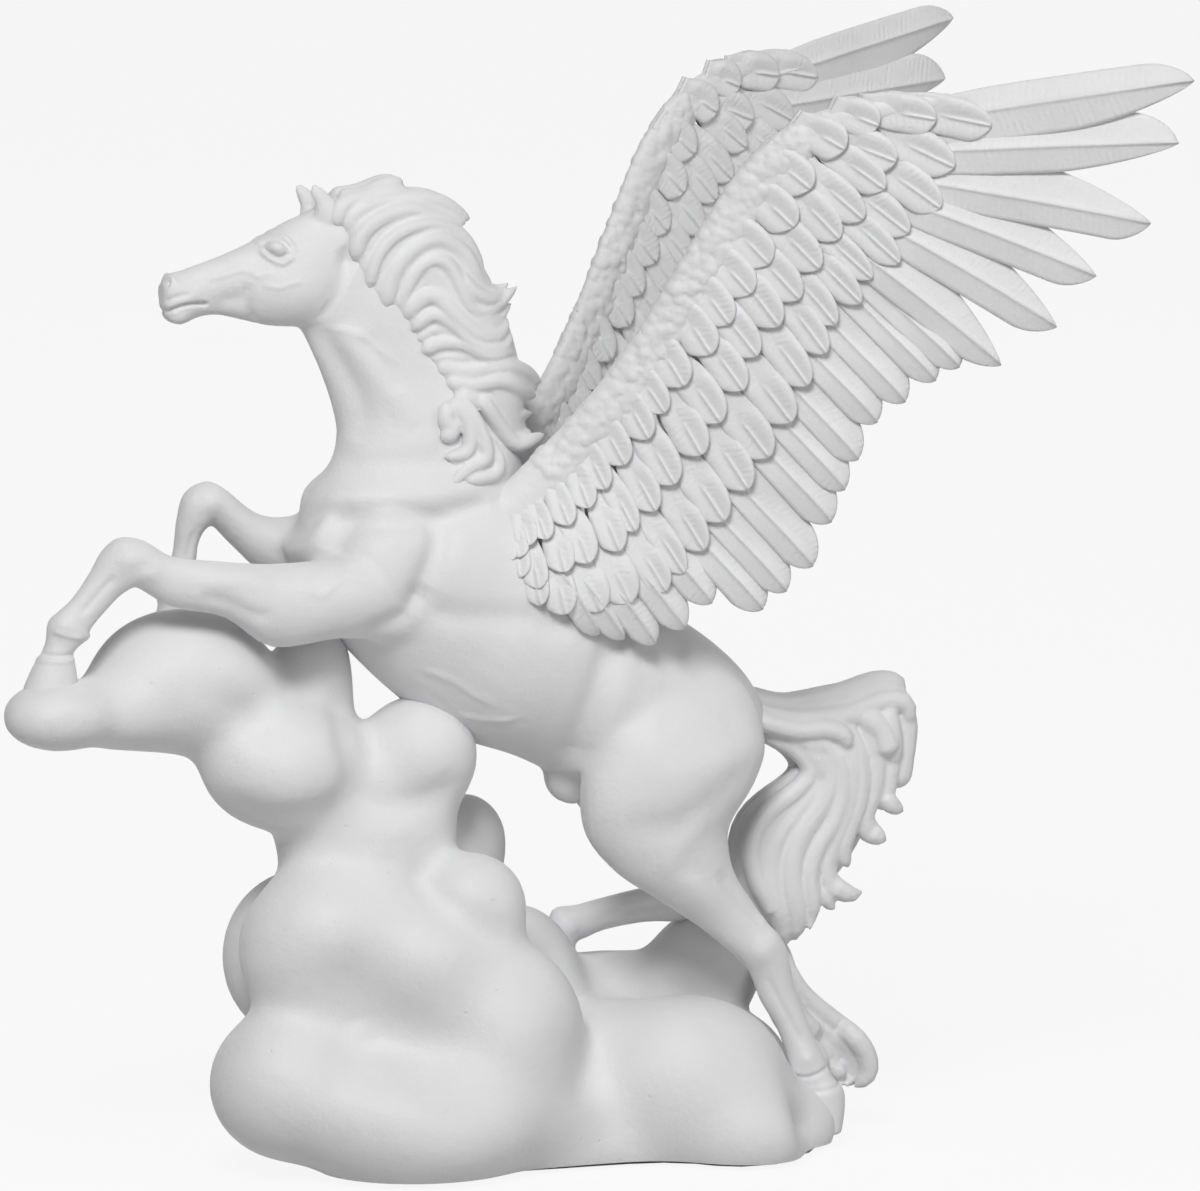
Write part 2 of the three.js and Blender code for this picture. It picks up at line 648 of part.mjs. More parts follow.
const tailLocks = [
  [[50, 0, 92.6, 2.4, 3.6], [62, 0, 91.8, 2.8, 4.4], [72, 0, 93.8, 3, 4.4], [81, 0, 94.6, 3.4, 3.8],
    [83, 0, 88, 3, 3.4], [81.6, 0, 80, 2.6, 2.8], [82.4, 0, 71, 0.7, 0.8]],
  [[72, -2, 88.6, 5, 5], [77.6, -3, 80, 5, 5], [80, -2, 73, 2.8, 3.6], [82.4, -1, 67.9, 0.7, 0.8]],
  [[66, -3, 80, 4.4, 5], [71.5, -3, 70, 4.4, 5], [74.5, -2, 64, 2.8, 3.4], [78, -1, 61.2, 0.7, 0.8]],
  [[62, 3, 70, 4.4, 5], [66, 3, 60, 4.4, 4.6], [69, 2, 53.4, 3, 3.4], [73, 1, 49.8, 0.8, 0.9]],
];

// Clouds: middle x, y, z and half sizes.
const cloudPuffs = [
  [-106.6, -13, 99.5, 11.4, 9.6, 7.2],
  [-76, -1, 104, 19.2, 16.4, 14.8],
  [-90.9, -6, 98.6, 11, 10, 7],
  [-46.5, 3, 102, 8, 9, 15],
  [-55.6, -5, 88.6, 18.4, 15, 15.2],
  [-25, -3, 86.4, 11.8, 13, 12.2],
  [-36.6, -1, 70.4, 18.6, 14.5, 15],
  [-9.8, 15, 64.9, 8.4, 9, 9.4],
  [-19, 11, 56, 14, 12, 13],
  [-46.4, 14, 41.9, 16.6, 13, 18],
  [-44, -9, 47.4, 22, 17, 18.4],
  [-16.6, -15, 55.7, 10.4, 10, 10.6],
  [-27.4, -14.5, 39.2, 17, 15, 16.5],
  [-57.2, -13, 19.6, 16.2, 17, 15.6],
  [-30, -19, 12.6, 26.5, 23, 17],
  [-10, -18.5, 27, 16, 14.5, 20],
  [-3.1, -13, 11.5, 16, 15, 12],
  [1.2, 12, 33.3, 13, 15, 17],
  [-17.4, 8, 18.9, 24, 18, 20],
  [31, -15, 15.5, 20, 18.5, 18],
  [46.6, 1, 10.1, 12, 12, 16],
  [18.3, -5, 15.9, 20, 15.6, 15],
  [43.8, 14, 35, 12, 11, 12],
  [22.5, 18, 26.9, 16, 12, 11.5],
  [40, -21, 6, 15, 17.5, 12],
  [52, -13, 4.5, 11, 12, 9],
  [7.9, -3, 2.7, 47, 22, 9.5],
];

const cloudCell = 7.2;          // size of the facets on the cloud
const cloudBlend = 2.9;         // how softly two puffs run together

// Distance from the clouds' surface, less than zero inside.
function cloudField(x, y, z, grow) {
  let sum = 0;
  for (const [cx, cy, cz, hx, hy, hz] of cloudPuffs) {
    const [a, b, c] = [hx + grow, hy + grow, hz + grow];
    const [px, py, pz] = [x - cx, y - cy, z - cz];
    const k0 = Math.hypot(px / a, py / b, pz / c);
    const k1 = Math.hypot(px / a ** 2, py / b ** 2, pz / c ** 2);
    const distance = k1 > 1e-9 ? k0 * (k0 - 1) / k1 : -Math.min(a, b, c);
    sum += Math.exp(-distance / cloudBlend);
  }
  return -cloudBlend * Math.log(sum);
}

// The surface where the field is zero: one vertex in each cell that it crosses. The small puff in
// front is less than two cells high, so it is joined on as a ball of its own.
function clouds(grow) {
  const low = [0, 1, 2].map((k) => Math.min(...cloudPuffs.map((p) => p[k] - p[k + 3])) - 2 * cloudCell);
  const high = [0, 1, 2].map((k) => Math.max(...cloudPuffs.map((p) => p[k] + p[k + 3])) + 2 * cloudCell);
  const counts = low.map((from, k) => Math.ceil((high[k] - from) / cloudCell) + 1);
  const [nx, ny, nz] = counts;
  const key = (i, j, k) => (i * ny + j) * nz + k;
  const field = new Float64Array(nx * ny * nz);
  const place = (n, k) => low[k] + n * cloudCell;
  for (let i = 0; i < nx; i++) {
    for (let j = 0; j < ny; j++) {
      for (let k = 0; k < nz; k++) {
        field[key(i, j, k)] = cloudField(place(i, 0), place(j, 1), place(k, 2), grow);
      }
    }
  }
  const corners = [[0, 0, 0], [1, 0, 0], [0, 1, 0], [1, 1, 0], [0, 0, 1], [1, 0, 1], [0, 1, 1], [1, 1, 1]];
  const cellVertex = new Map();
  const positions = [];
  const step = 0.01;
  const vertexOf = (i, j, k) => {
    const id = key(i, j, k);
    if (!cellVertex.has(id)) {
      const sum = v(0, 0, 0);
      let crossings = 0;
      corners.forEach((a, m) => corners.slice(m + 1).forEach((b) => {
        if (Math.abs(a[0] - b[0]) + Math.abs(a[1] - b[1]) + Math.abs(a[2] - b[2]) !== 1) return;
        const fa = field[key(i + a[0], j + a[1], k + a[2])];
        const fb = field[key(i + b[0], j + b[1], k + b[2])];
        if (fa < 0 === fb < 0) return;
        const t = fa / (fa - fb);
        crossings += 1;
        sum.add(v(...[i, j, k].map((n, q) => place(n + a[q] + (b[q] - a[q]) * t, q))));
      }));
      const p = sum.divideScalar(crossings);
      const value = cloudField(p.x, p.y, p.z, grow);
      const slope = v(cloudField(p.x + step, p.y, p.z, grow) - value,
        cloudField(p.x, p.y + step, p.z, grow) - value,
        cloudField(p.x, p.y, p.z + step, grow) - value).divideScalar(step);
      p.addScaledVector(slope, -value / slope.lengthSq());
      cellVertex.set(id, positions.length / 3);
      positions.push(p.x, p.y, p.z);
    }
    return cellVertex.get(id);
  };
  const indices = [];
  const quad = ([a, b, c, d], flip) => {
    indices.push(...(flip ? [a, c, b, a, d, c] : [a, b, c, a, c, d]));
  };
  // The four cells round one grid edge, one step back along the first axis, the second or both.
  const near = (i, j, k, first, second) => [[1, 1], [0, 1], [0, 0], [1, 0]].map((back) => {
    const cell = [i, j, k];
    cell[first] -= back[0];
    cell[second] -= back[1];
    return vertexOf(...cell);
  });
  for (let i = 1; i + 1 < nx; i++) {
    for (let j = 1; j + 1 < ny; j++) {
      for (let k = 1; k + 1 < nz; k++) {
        const inside = field[key(i, j, k)] < 0;
        if (inside !== field[key(i + 1, j, k)] < 0) {
          quad(near(i, j, k, 1, 2), !inside);
        }
        if (inside !== field[key(i, j + 1, k)] < 0) {
          quad(near(i, j, k, 2, 0), !inside);
        }
        if (inside !== field[key(i, j, k + 1)] < 0) {
          quad(near(i, j, k, 0, 1), !inside);
        }
      }
    }
  }
  const geometry = new THREE.BufferGeometry();
  geometry.setAttribute('position', new THREE.Float32BufferAttribute(positions, 3));
  geometry.setIndex(indices);
  return solid(geometry).add(puff(cloudPuffs[0], grow, 2));
}

// Castings

const trunkSides = 16;
const neckSides = 14;
const trunk = limb(trunkStations, trunkSides);
const neck = limb(neckStations, neckSides);
const thighs = limbs.map((leg) => limb(leg.upper, legSides));
const shoulders = (grow) => [-1, 1].map((side) =>
  puff([shoulderX, side * shoulderOut, shoulderZ, ...shoulderHalf], grow, 2));
const body = join([trunk, neck, ...thighs, ...shoulders(0)]);

const neckSeam = neckStations[0];
const neckAxis = stationAxis(neckStations, 0);
const neckDowel = dowel(stationMiddle(neckSeam), neckAxis, neckPinDiameter, neckPinLength);

// The head stops one glue line short of the neck.
const headSeam = pastSeam([...pollStations].reverse(), 0)[0];
const ears = [-1, 1].map((side) => {
  const base = v(earX, side * earsApart / 2, earZ);
  const tip = base.clone().addScaledVector(v(-0.55, side * 0.05, 0.84), earLength);
  const oval = (p, size) => ring(p, v(earHalfWidth * size, 0, 0.3 * size),
    v(0, 0.7 * earHalfWidth * size, 0), 8);
  return loft([oval(base, 0.8), oval(base.clone().lerp(tip, 0.5), 1), oval(tip, 0.1)]);
});
const eyes = [-1, 1].map((side) =>
  puff([eyeX, side * eyeApart / 2, eyeZ, eyeRadius, 0.75 * eyeRadius, 0.67 * eyeRadius], 0, 1));
const head = join([
  limb(headStations, neckSides),
  limb([pollStations[0], pollStations[1], headSeam], neckSides),
  ...ears,
  ...eyes,
]);

const tailAxis = v(1, 0, tailPinRise).normalize();
const tailDowel = dowel(v(tailPinX, 0, tailPinZ), tailAxis, tailPinDiameter, tailPinLength);
const supportDowel = dowel(v(supportPinX, supportPinY, supportPinZ), v(0, 0, 1),
  supportPinDiameter, supportPinLength);
const hoofDowels = [
  dowel(v(leftHoofPinX, -hindFeetOut, leftHoofPinZ), v(1, 0, 0), hoofPinDiameter, hoofPinLength),
  dowel(v(rightHoofPinX, hindFeetOut, rightHoofPinZ), v(0, 0, 1), hoofPinDiameter, hoofPinLength),
];

const grownBody = join([
  limb(trunkStations, trunkSides, seatGap),
  limb(neckStations, neckSides, seatGap),
  ...shoulders(seatGap),
  ...limbs.map((leg) => limb(leg.upper, legSides, seatGap)),
]);
const grownHead = join([
  limb(headStations, neckSides, seatGap),
  limb(pollStations, neckSides, seatGap),
]);

const flippedTenon = mirrored(tenon(seatGap));
const flippedHole = mirrored(wingDowel.hole);

addPiece('horse_body', cut(body, [
  ...limbs.map((leg) => leg.dowel.hole), neckDowel.hole, tailDowel.hole, supportDowel.hole,
  tenon(seatGap), flippedTenon, wingDowel.hole, flippedHole,
]), marble);
addPiece('horse_head', cut(head, [neckDowel.hole]), marble);

for (const leg of limbs) {
  const hole = { left_hind_leg: hoofDowels[0].hole, right_hind_leg: hoofDowels[1].hole }[leg.name];
  const holes = [leg.dowel.hole, ...(hole ? [hole] : [])];
  addPiece(leg.name, cut(limb(leg.lower, legSides), holes), marble);
}

const mane = join([lock(crestMass, 9, 1), ...maneLocks.map((stations) => lock(stations))]);
addPiece('mane', cut(mane, [grownBody, grownHead]), marble);

const tail = join([lock(tailMass, 9, 1), ...tailLocks.map((stations) => lock(stations))]);
addPiece('tail', cut(tail, [grownBody, tailDowel.hole]), marble);

const wing = cut(join(wingRows()), [grownBody]).add(tenon(0)).subtract(wingDowel.hole);
addPiece('left_wing', wing, marble);
addPiece('right_wing', mirrored(wing), marble);

const cloud = cut(clouds(0).trimByPlane([0, 0, 1], feltThickness), [
  grownBody,
  ...limbs.map((leg) => limb(leg.stations, legSides, seatGap)),
  lock(tailMass.map(([x, y, z, high, deep]) => [x, y, z, high + seatGap, deep + seatGap]), 9, 1),
  supportDowel.hole, ...hoofDowels.map((pair) => pair.hole),
]);
addPiece('cloud_base', cloud, marble);

const felted = clouds(-feltInset).trimByPlane([0, 0, 1], 0).trimByPlane([0, 0, -1], -feltThickness);
addPiece('base_felt', felted, felt);

addPiece('neck_pin', neckDowel.pin, steel);
addPiece('tail_pin', tailDowel.pin, steel);
addPiece('support_pin', supportDowel.pin, steel);
limbs.forEach((leg) => addPiece(`${leg.name}_pin`, leg.dowel.pin, steel));
addPiece('left_hoof_pin', hoofDowels[0].pin, steel);
addPiece('right_hoof_pin', hoofDowels[1].pin, steel);
addPiece('left_wing_pin', wingDowel.pin, steel);
addPiece('right_wing_pin', mirrored(wingDowel.pin), steel);

export default statue;
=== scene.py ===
# A rearing winged horse on a cloud, in pale bonded marble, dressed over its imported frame.
# Sizes are in millimetres until a piece is finished, and the horse faces -X.
import math
import random

import bmesh
import bpy
import numpy as np
from mathutils import Matrix, Vector
from mathutils.bvhtree import BVHTree


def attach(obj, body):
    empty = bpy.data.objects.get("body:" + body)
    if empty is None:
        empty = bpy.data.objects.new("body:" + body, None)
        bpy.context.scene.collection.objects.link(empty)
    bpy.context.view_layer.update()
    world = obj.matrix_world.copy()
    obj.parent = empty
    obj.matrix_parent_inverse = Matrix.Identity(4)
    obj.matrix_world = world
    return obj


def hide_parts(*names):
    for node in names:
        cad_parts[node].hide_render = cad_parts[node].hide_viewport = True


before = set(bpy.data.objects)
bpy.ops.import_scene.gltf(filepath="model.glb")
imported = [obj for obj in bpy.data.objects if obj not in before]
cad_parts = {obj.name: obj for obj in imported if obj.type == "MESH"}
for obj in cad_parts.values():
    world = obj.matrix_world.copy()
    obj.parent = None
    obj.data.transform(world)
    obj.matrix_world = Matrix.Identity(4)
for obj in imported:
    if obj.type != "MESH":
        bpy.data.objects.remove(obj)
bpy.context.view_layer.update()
scene = bpy.context.scene
mm = 0.001
cutTolerance = 0.0001

# Camera and lamps

view = {
    "turn": -18,  # degrees round the statue from its left side
    "rise": 8,
    "distance": 2500,
    "target": (15.5, 0, 117.5),
    "widthSeen": 252,  # at the target
    "sensor": 36,
}


def addCamera():
    turn, rise = math.radians(view["turn"]), math.radians(view["rise"])
    back = Vector((math.sin(turn) * math.cos(rise), -math.cos(turn) * math.cos(rise), math.sin(rise)))
    data = bpy.data.cameras.new("camera")
    data.sensor_width = view["sensor"]
    data.lens = view["sensor"] * view["distance"] / view["widthSeen"]
    data.clip_start = 0.1
    data.clip_end = 30
    camera = bpy.data.objects.new("camera", data)
    camera.location = (Vector(view["target"]) + back * view["distance"]) * mm
    camera.rotation_mode = "QUATERNION"
    camera.rotation_quaternion = (-back).to_track_quat("-Z", "Y")
    scene.collection.objects.link(camera)
    scene.camera = camera


# places and sizes in metres
lamps = {
    "key": {"place": (-0.55, -1.1, 1.2), "size": 0.6, "power": 18},
    "fill": {"place": (1.0, -1.2, 0.9), "size": 1.2, "power": 6.5},
    "rim": {"place": (0.4, 1.2, 1.1), "size": 1.2, "power": 2.5},
}


def addLamps():
    aim = Vector((0.0, 0.0, 0.1))
    for name, lamp in lamps.items():
        data = bpy.data.lights.new(name, "AREA")
        data.shape = "DISK"
        data.size = lamp["size"]
        data.energy = lamp["power"]
        light = bpy.data.objects.new(name, data)
        light.location = lamp["place"]
        light.rotation_mode = "QUATERNION"
        light.rotation_quaternion = (aim - light.location).to_track_quat("-Z", "Y")
        scene.collection.objects.link(light)


addCamera()
addLamps()
print("camera and lamps are in place")

# Materials


class Wire:
    # one value in a material, on which sums and products add their own nodes
    def __init__(self, tree, socket):
        self.tree = tree
        self.socket = socket

    def math(self, operation, *others):
        values = dict(enumerate((self, *others)))
        return addNode(self.tree, "ShaderNodeMath", {"operation": operation}, values)

    def __add__(self, other):
        return self.math("ADD", other)

    def __mul__(self, other):
        return self.math("MULTIPLY", other)

    def __sub__(self, other):
        return self.math("SUBTRACT", other)

    def __rsub__(self, other):
        return addNode(self.tree, "ShaderNodeMath", {"operation": "SUBTRACT"}, {0: other, 1: self})

    __radd__ = __add__
    __rmul__ = __mul__


def addNode(tree, kind, settings, values, output=0):
    # settings are set first, then each socket gets its value or link
    node = tree.nodes.new(kind)
    for name, value in settings.items():
        if name == "stops":
            for stop, (place, shade) in zip(node.color_ramp.elements, value):
                stop.position = place
                stop.color = (shade, shade, shade, 1)
        else:
            setattr(node, name, value)
    for name, value in values.items():
        if isinstance(value, Wire):
            tree.links.new(value.socket, node.inputs[name])
        else:
            node.inputs[name].default_value = value
    return Wire(tree, node.outputs[output])


def newMaterial(name):
    material = bpy.data.materials.new(name)
    material.use_nodes = True
    tree = material.node_tree
    shader = next(n for n in tree.nodes if n.type == "BSDF_PRINCIPLED")
    return material, tree, shader


# sizes and heights in mm
marbleLook = {
    "light": (0.75, 0.75, 0.757, 1),
    "dark": (0.665, 0.665, 0.672, 1),
    "roughness": 0.56,
    "roughSize": 2.5,
    "roughSpread": 0.12,
    "specular": 0.35,
    "blotchSize": 14,
    "grainSize": 0.55,
    "grainHeight": 0.06,
    "pitSize": 1.3,
    "pitHeight": 0.07,
    "swellSize": 3.6,
    "swellHeight": 0.09,
    "bubbleSize": 5.5,  # how far apart the air bubbles are
    "bubbleEdge": ((0.03, 0.0), (0.09, 1.0)),
    "barbPitch": 1.25,
    "barbSlant": 0.3,
    "barbHeight": 0.12,
    "barbWaveSize": 2.2,
    "barbWave": 2.4,
    "barbGapSize": 3.0,  # patches in which the barbs are worn away
    "barbGap": 0.42,
}


def marble(name, swell=1.0, pits=0.0, barbs=False):
    look = marbleLook
    material, tree, shader = newMaterial(name)
    place = addNode(tree, "ShaderNodeTexCoord", {}, {}, "Object")

    def noise(size, detail=2.0):
        values = {"Vector": place, "Scale": 1000 / size, "Detail": detail}
        return addNode(tree, "ShaderNodeTexNoise", {}, values)

    blotch = noise(look["blotchSize"], 4.0)
    shade = addNode(tree, "ShaderNodeMix", {"data_type": "RGBA"},
                    {0: blotch, 6: look["dark"], 7: look["light"]}, 2)
    height = noise(look["grainSize"]) * look["grainHeight"]
    height = height + noise(look["pitSize"], 1.0) * look["pitHeight"]
    height = height + noise(look["swellSize"]) * (look["swellHeight"] * swell)
    if pits:
        cells = addNode(tree, "ShaderNodeTexVoronoi", {},
                        {"Vector": place, "Scale": 1000 / look["bubbleSize"]})
        hollow = addNode(tree, "ShaderNodeValToRGB", {"stops": look["bubbleEdge"]}, {0: cells})
        height = height + hollow * pits
    if barbs:
        across = addNode(tree, "ShaderNodeAttribute", {"attribute_name": "across"}, {}, "Fac")
        along = addNode(tree, "ShaderNodeAttribute", {"attribute_name": "along"}, {}, "Fac")
        slanted = along - across.math("ABSOLUTE") * look["barbSlant"]
        turns = slanted * (2 * math.pi / look["barbPitch"])
        uneven = (noise(look["barbGapSize"]) - look["barbGap"]).math("MAXIMUM", 0.0)
        wave = noise(look["barbWaveSize"]) * look["barbWave"]
        height = height + (turns + wave).math("SINE") * uneven * look["barbHeight"]
    bump = addNode(tree, "ShaderNodeBump", {}, {"Strength": 1.0, "Distance": mm, "Height": height})
    spread = look["roughSpread"]
    rough = noise(look["roughSize"]) * spread + (look["roughness"] - spread / 2)
    tree.links.new(shade.socket, shader.inputs["Base Color"])
    tree.links.new(rough.socket, shader.inputs["Roughness"])
    tree.links.new(bump.socket, shader.inputs["Normal"])
    shader.inputs["Specular IOR Level"].default_value = look["specular"]
    return material


# here the depth of the bump is in metres
steelLook = {
    "color": (0.56, 0.57, 0.59, 1),
    "scale": 2600.0,
    "roughness": 0.28,
    "roughSpread": 0.2,
    "bump": {"Strength": 0.4, "Distance": 0.00002},
}
feltLook = {
    "dark": (0.36, 0.36, 0.365, 1),
    "light": (0.5, 0.5, 0.505, 1),
    "scale": 1700.0,
    "roughness": 0.95,
    "specular": 0.2,
    "bump": {"Strength": 0.8, "Distance": 0.0003},
}


def drawnSteel():
    material, tree, shader = newMaterial("drawn steel")
    place = addNode(tree, "ShaderNodeTexCoord", {}, {}, "Object")
    scratch = addNode(tree, "ShaderNodeTexNoise", {},
                      {"Vector": place, "Scale": steelLook["scale"], "Detail": 3.0})
    rough = scratch * steelLook["roughSpread"] + steelLook["roughness"]
    tree.links.new(rough.socket, shader.inputs["Roughness"])
    bump = addNode(tree, "ShaderNodeBump", {}, steelLook["bump"] | {"Height": scratch})
    tree.links.new(bump.socket, shader.inputs["Normal"])
    shader.inputs["Base Color"].default_value = steelLook["color"]
    shader.inputs["Metallic"].default_value = 1.0
    return material


def feltCloth():
    material, tree, shader = newMaterial("felt")
    place = addNode(tree, "ShaderNodeTexCoord", {}, {}, "Object")
    fibre = addNode(tree, "ShaderNodeTexNoise", {},
                    {"Vector": place, "Scale": feltLook["scale"], "Detail": 6.0})
    shade = addNode(tree, "ShaderNodeMix", {"data_type": "RGBA"},
                    {0: fibre, 6: feltLook["dark"], 7: feltLook["light"]}, 2)
    bump = addNode(tree, "ShaderNodeBump", {}, feltLook["bump"] | {"Height": fibre})
    tree.links.new(shade.socket, shader.inputs["Base Color"])
    tree.links.new(bump.socket, shader.inputs["Normal"])
    shader.inputs["Roughness"].default_value = feltLook["roughness"]
    shader.inputs["Specular IOR Level"].default_value = feltLook["specular"]
    return material


horseMarble = marble("bonded marble")
hairMarble = marble("bonded marble, hair", swell=0.6)
featherMarble = marble("bonded marble, feathers", swell=1.0, barbs=True)
cloudMarble = marble("bonded marble, cloud", swell=1.5, pits=0.1)
steel = drawnSteel()
felt = feltCloth()
print("marble, steel and felt are mixed")

# Working in mesh


def meshFrom(bm, name):
    mesh = bpy.data.meshes.new(name)
    bm.to_mesh(mesh)
    bm.free()
    return mesh


def bmeshFrom(mesh):
    bm = bmesh.new()
    bm.from_mesh(mesh)
    return bm


def smoothed(rows, steps):
    # points on the smooth curve through the rows
    rows = np.asarray(rows, float)
    ends = np.vstack([rows[:1], rows, rows[-1:]])
    points = []
    for i in range(len(rows) - 1):
        a, b, c, d = ends[i:i + 4]
        for step in range(steps):
            t = step / steps
            bend = 2 * a - 5 * b + 4 * c - d + t * (3 * (b - c) + d - a)
            points.append(b + 0.5 * t * (c - a + t * bend))
    points.append(rows[-1])
    return np.array(points)


def stepAt(rows, i):
    # from the row before to the row after
    return rows[min(i + 1, len(rows) - 1)] - rows[max(i - 1, 0)]


def evenly(path, count):
    # the same number of points at equal steps along a smooth path
    points = smoothed(path, 8)
    run = np.concatenate([[0], np.cumsum(np.linalg.norm(np.diff(points, axis=0), axis=1))])
    places = np.linspace(0, run[-1], count)
    return np.stack([np.interp(places, run, column) for column in points.T], axis=1)


def addTube(bm, rings, sides):
    # a closed tube through rings, each a middle and two half axes
    before, ends = None, []
    for middle, halfA, halfB in rings:
        square = halfA.cross(halfB).normalized()
        place = Matrix((halfA, halfB, square)).transposed().to_4x4()
        place.translation = middle
        made = bmesh.ops.create_circle(bm, segments=sides, radius=1, matrix=place)
        loop = list({edge for vert in made["verts"] for edge in vert.link_edges})
        if before:
            bmesh.ops.bridge_loops(bm, edges=before + loop)
        else:
            ends += loop
        before = loop
    bmesh.ops.holes_fill(bm, edges=ends + before, sides=0)


def addLimb(bm, stations, sides, steps=3):
    # a closed limb, round in section, through its stations
    rings = []
    for topX, topZ, bottomX, bottomZ, y, half in smoothed(stations, steps):
        top, bottom = Vector((topX, y, topZ)), Vector((bottomX, y, bottomZ))
        rings.append(((top + bottom) / 2, Vector((0, half, 0)), (top - bottom) / 2))
    addTube(bm, rings, sides)


def addBall(bm, x, y, z, halfX, halfY, halfZ):
    place = Matrix.Translation((x, y, z)) @ Matrix.Diagonal((halfX, halfY, halfZ, 1))
    bmesh.ops.create_icosphere(bm, subdivisions=4, radius=1, matrix=place)


def withModifier(bm, kind, settings):
    # the mesh of a bmesh after one modifier, made real
    work = bpy.data.objects.new("work", meshFrom(bm, "work"))
    scene.collection.objects.link(work)
    modifier = work.modifiers.new("work", kind)
    for name, value in settings.items():
        setattr(modifier, name, value)
    shown = work.evaluated_get(bpy.context.evaluated_depsgraph_get())
    made = bpy.data.meshes.new_from_object(shown)
    bpy.data.objects.remove(work)
    return made


def oneSkin(bm, cell):
    # joins every shell into one even skin
    bmesh.ops.recalc_face_normals(bm, faces=bm.faces)
    return withModifier(bm, "REMESH", {"mode": "VOXEL", "voxel_size": cell})


class Clay:
    # a mesh whose points are moved by hand-sized strokes
    def __init__(self, mesh):
        self.mesh = mesh
        self.points = np.empty(len(mesh.vertices) * 3)
        mesh.vertices.foreach_get("co", self.points)
        self.points = self.points.reshape(-1, 3)
        edges = np.empty(len(mesh.edges) * 2, int)
        mesh.edges.foreach_get("vertices", edges)
        self.edges = edges.reshape(-1, 2)
        self.count = np.bincount(edges, minlength=len(self.points))
        self.height = np.zeros(len(self.points))
        self.free = np.ones(len(self.points))
        self.settle()

    def settle(self):
        # puts the moved points into the mesh and reads its normals again
        if self.height.any():
            self.points += self.normals * (self.height * self.free)[:, None]
        self.height[:] = 0
        self.mesh.vertices.foreach_set("co", self.points.ravel())
        self.mesh.update()
        normals = np.empty(len(self.points) * 3, np.float32)
        self.mesh.vertex_normals.foreach_get("vector", normals)
        self.normals = normals.reshape(-1, 3).astype(float)

    def hold(self, middle, axis, fade):
        # points near a seam stay where they are
        gap = np.abs((self.points - np.array(middle)) @ np.array(axis))
        self.free = np.clip((gap - 0.2) / fade, 0, 1)

    def relax(self, rounds, weight=1.0, keep=0.0):
        # evens the surface out; keep gives back the size that it loses
        a, b = self.edges.T
        for _ in range(rounds):
            for share in ((0.5, -keep) if keep else (0.5,)):
                total = np.stack([np.bincount(a, self.points[b, k], len(self.points))
                                  + np.bincount(b, self.points[a, k], len(self.points))
                                  for k in range(3)], axis=1)
                pull = total / self.count[:, None] - self.points
                self.points += pull * (share * self.free * weight)[:, None]
        self.settle()

    def gap(self, path):
        # distance in side view to a smooth path, and the place along it from 0 to 1
        route = smoothed(path, 5)
        best = np.full(len(self.points), 1e9)
        place = np.zeros(len(self.points))
        flat = self.points[:, [0, 2]]
        for i in range(len(route) - 1):
            step = route[i + 1] - route[i]
            share = np.clip((flat - route[i]) @ step / (step @ step), 0, 1)
            distance = np.linalg.norm(flat - route[i] - share[:, None] * step, axis=1)
            nearer = distance < best
            best[nearer] = distance[nearer]
            place[nearer] = (i + share[nearer]) / (len(route) - 1)
        return best, place

    def facing(self, side):
        # 1 where the skin looks to that side, or to either side where it is 0
        out = self.normals[:, 1] * side if side else np.abs(self.normals[:, 1])
        return np.clip(out * 1.6, 0, 1)

    def stroke(self, path, width, height, side=0, fade=0.2):
        # a groove or ridge along a path, which fades over a share of it at both ends
        gap, place = self.gap(path)
        ends = np.clip(np.minimum(place, 1 - place) / fade, 0, 1) if fade else 1
        self.height += height * np.exp(-(gap / width) ** 2) * ends * self.facing(side)

    def mound(self, x, z, halfX, halfZ, turn, height, side=0):
        # a soft swelling or hollow, turned by some degrees in side view
        c, s = math.cos(math.radians(turn)), math.sin(math.radians(turn))
        dx, dz = self.points[:, 0] - x, self.points[:, 2] - z
        far = ((dx * c + dz * s) / halfX) ** 2 + ((dz * c - dx * s) / halfZ) ** 2
        self.height += height * np.exp(-far) * self.facing(side)

    def near(self, x, y, z, radius):
        return np.exp(-((self.points - (x, y, z)) ** 2).sum(axis=1) / radius ** 2)


def finishPiece(mesh, name, material, *nodes):
    # the finished mesh as a piece in metres that stands for its CAD nodes
    mesh.transform(Matrix.Scale(mm, 4))
    mesh.shade_smooth()
    mesh.name = name
    mesh.materials.clear()
    mesh.materials.append(material)
    piece = bpy.data.objects.new(name, mesh)
    scene.collection.objects.link(piece)
    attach(piece, "root")
    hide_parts(*nodes)
    print(name, len(mesh.polygons), "faces")


# The horse, as one skin that is then cut where its castings meet
# A station of a limb is top x, top z, bottom x, bottom z, y and half width.

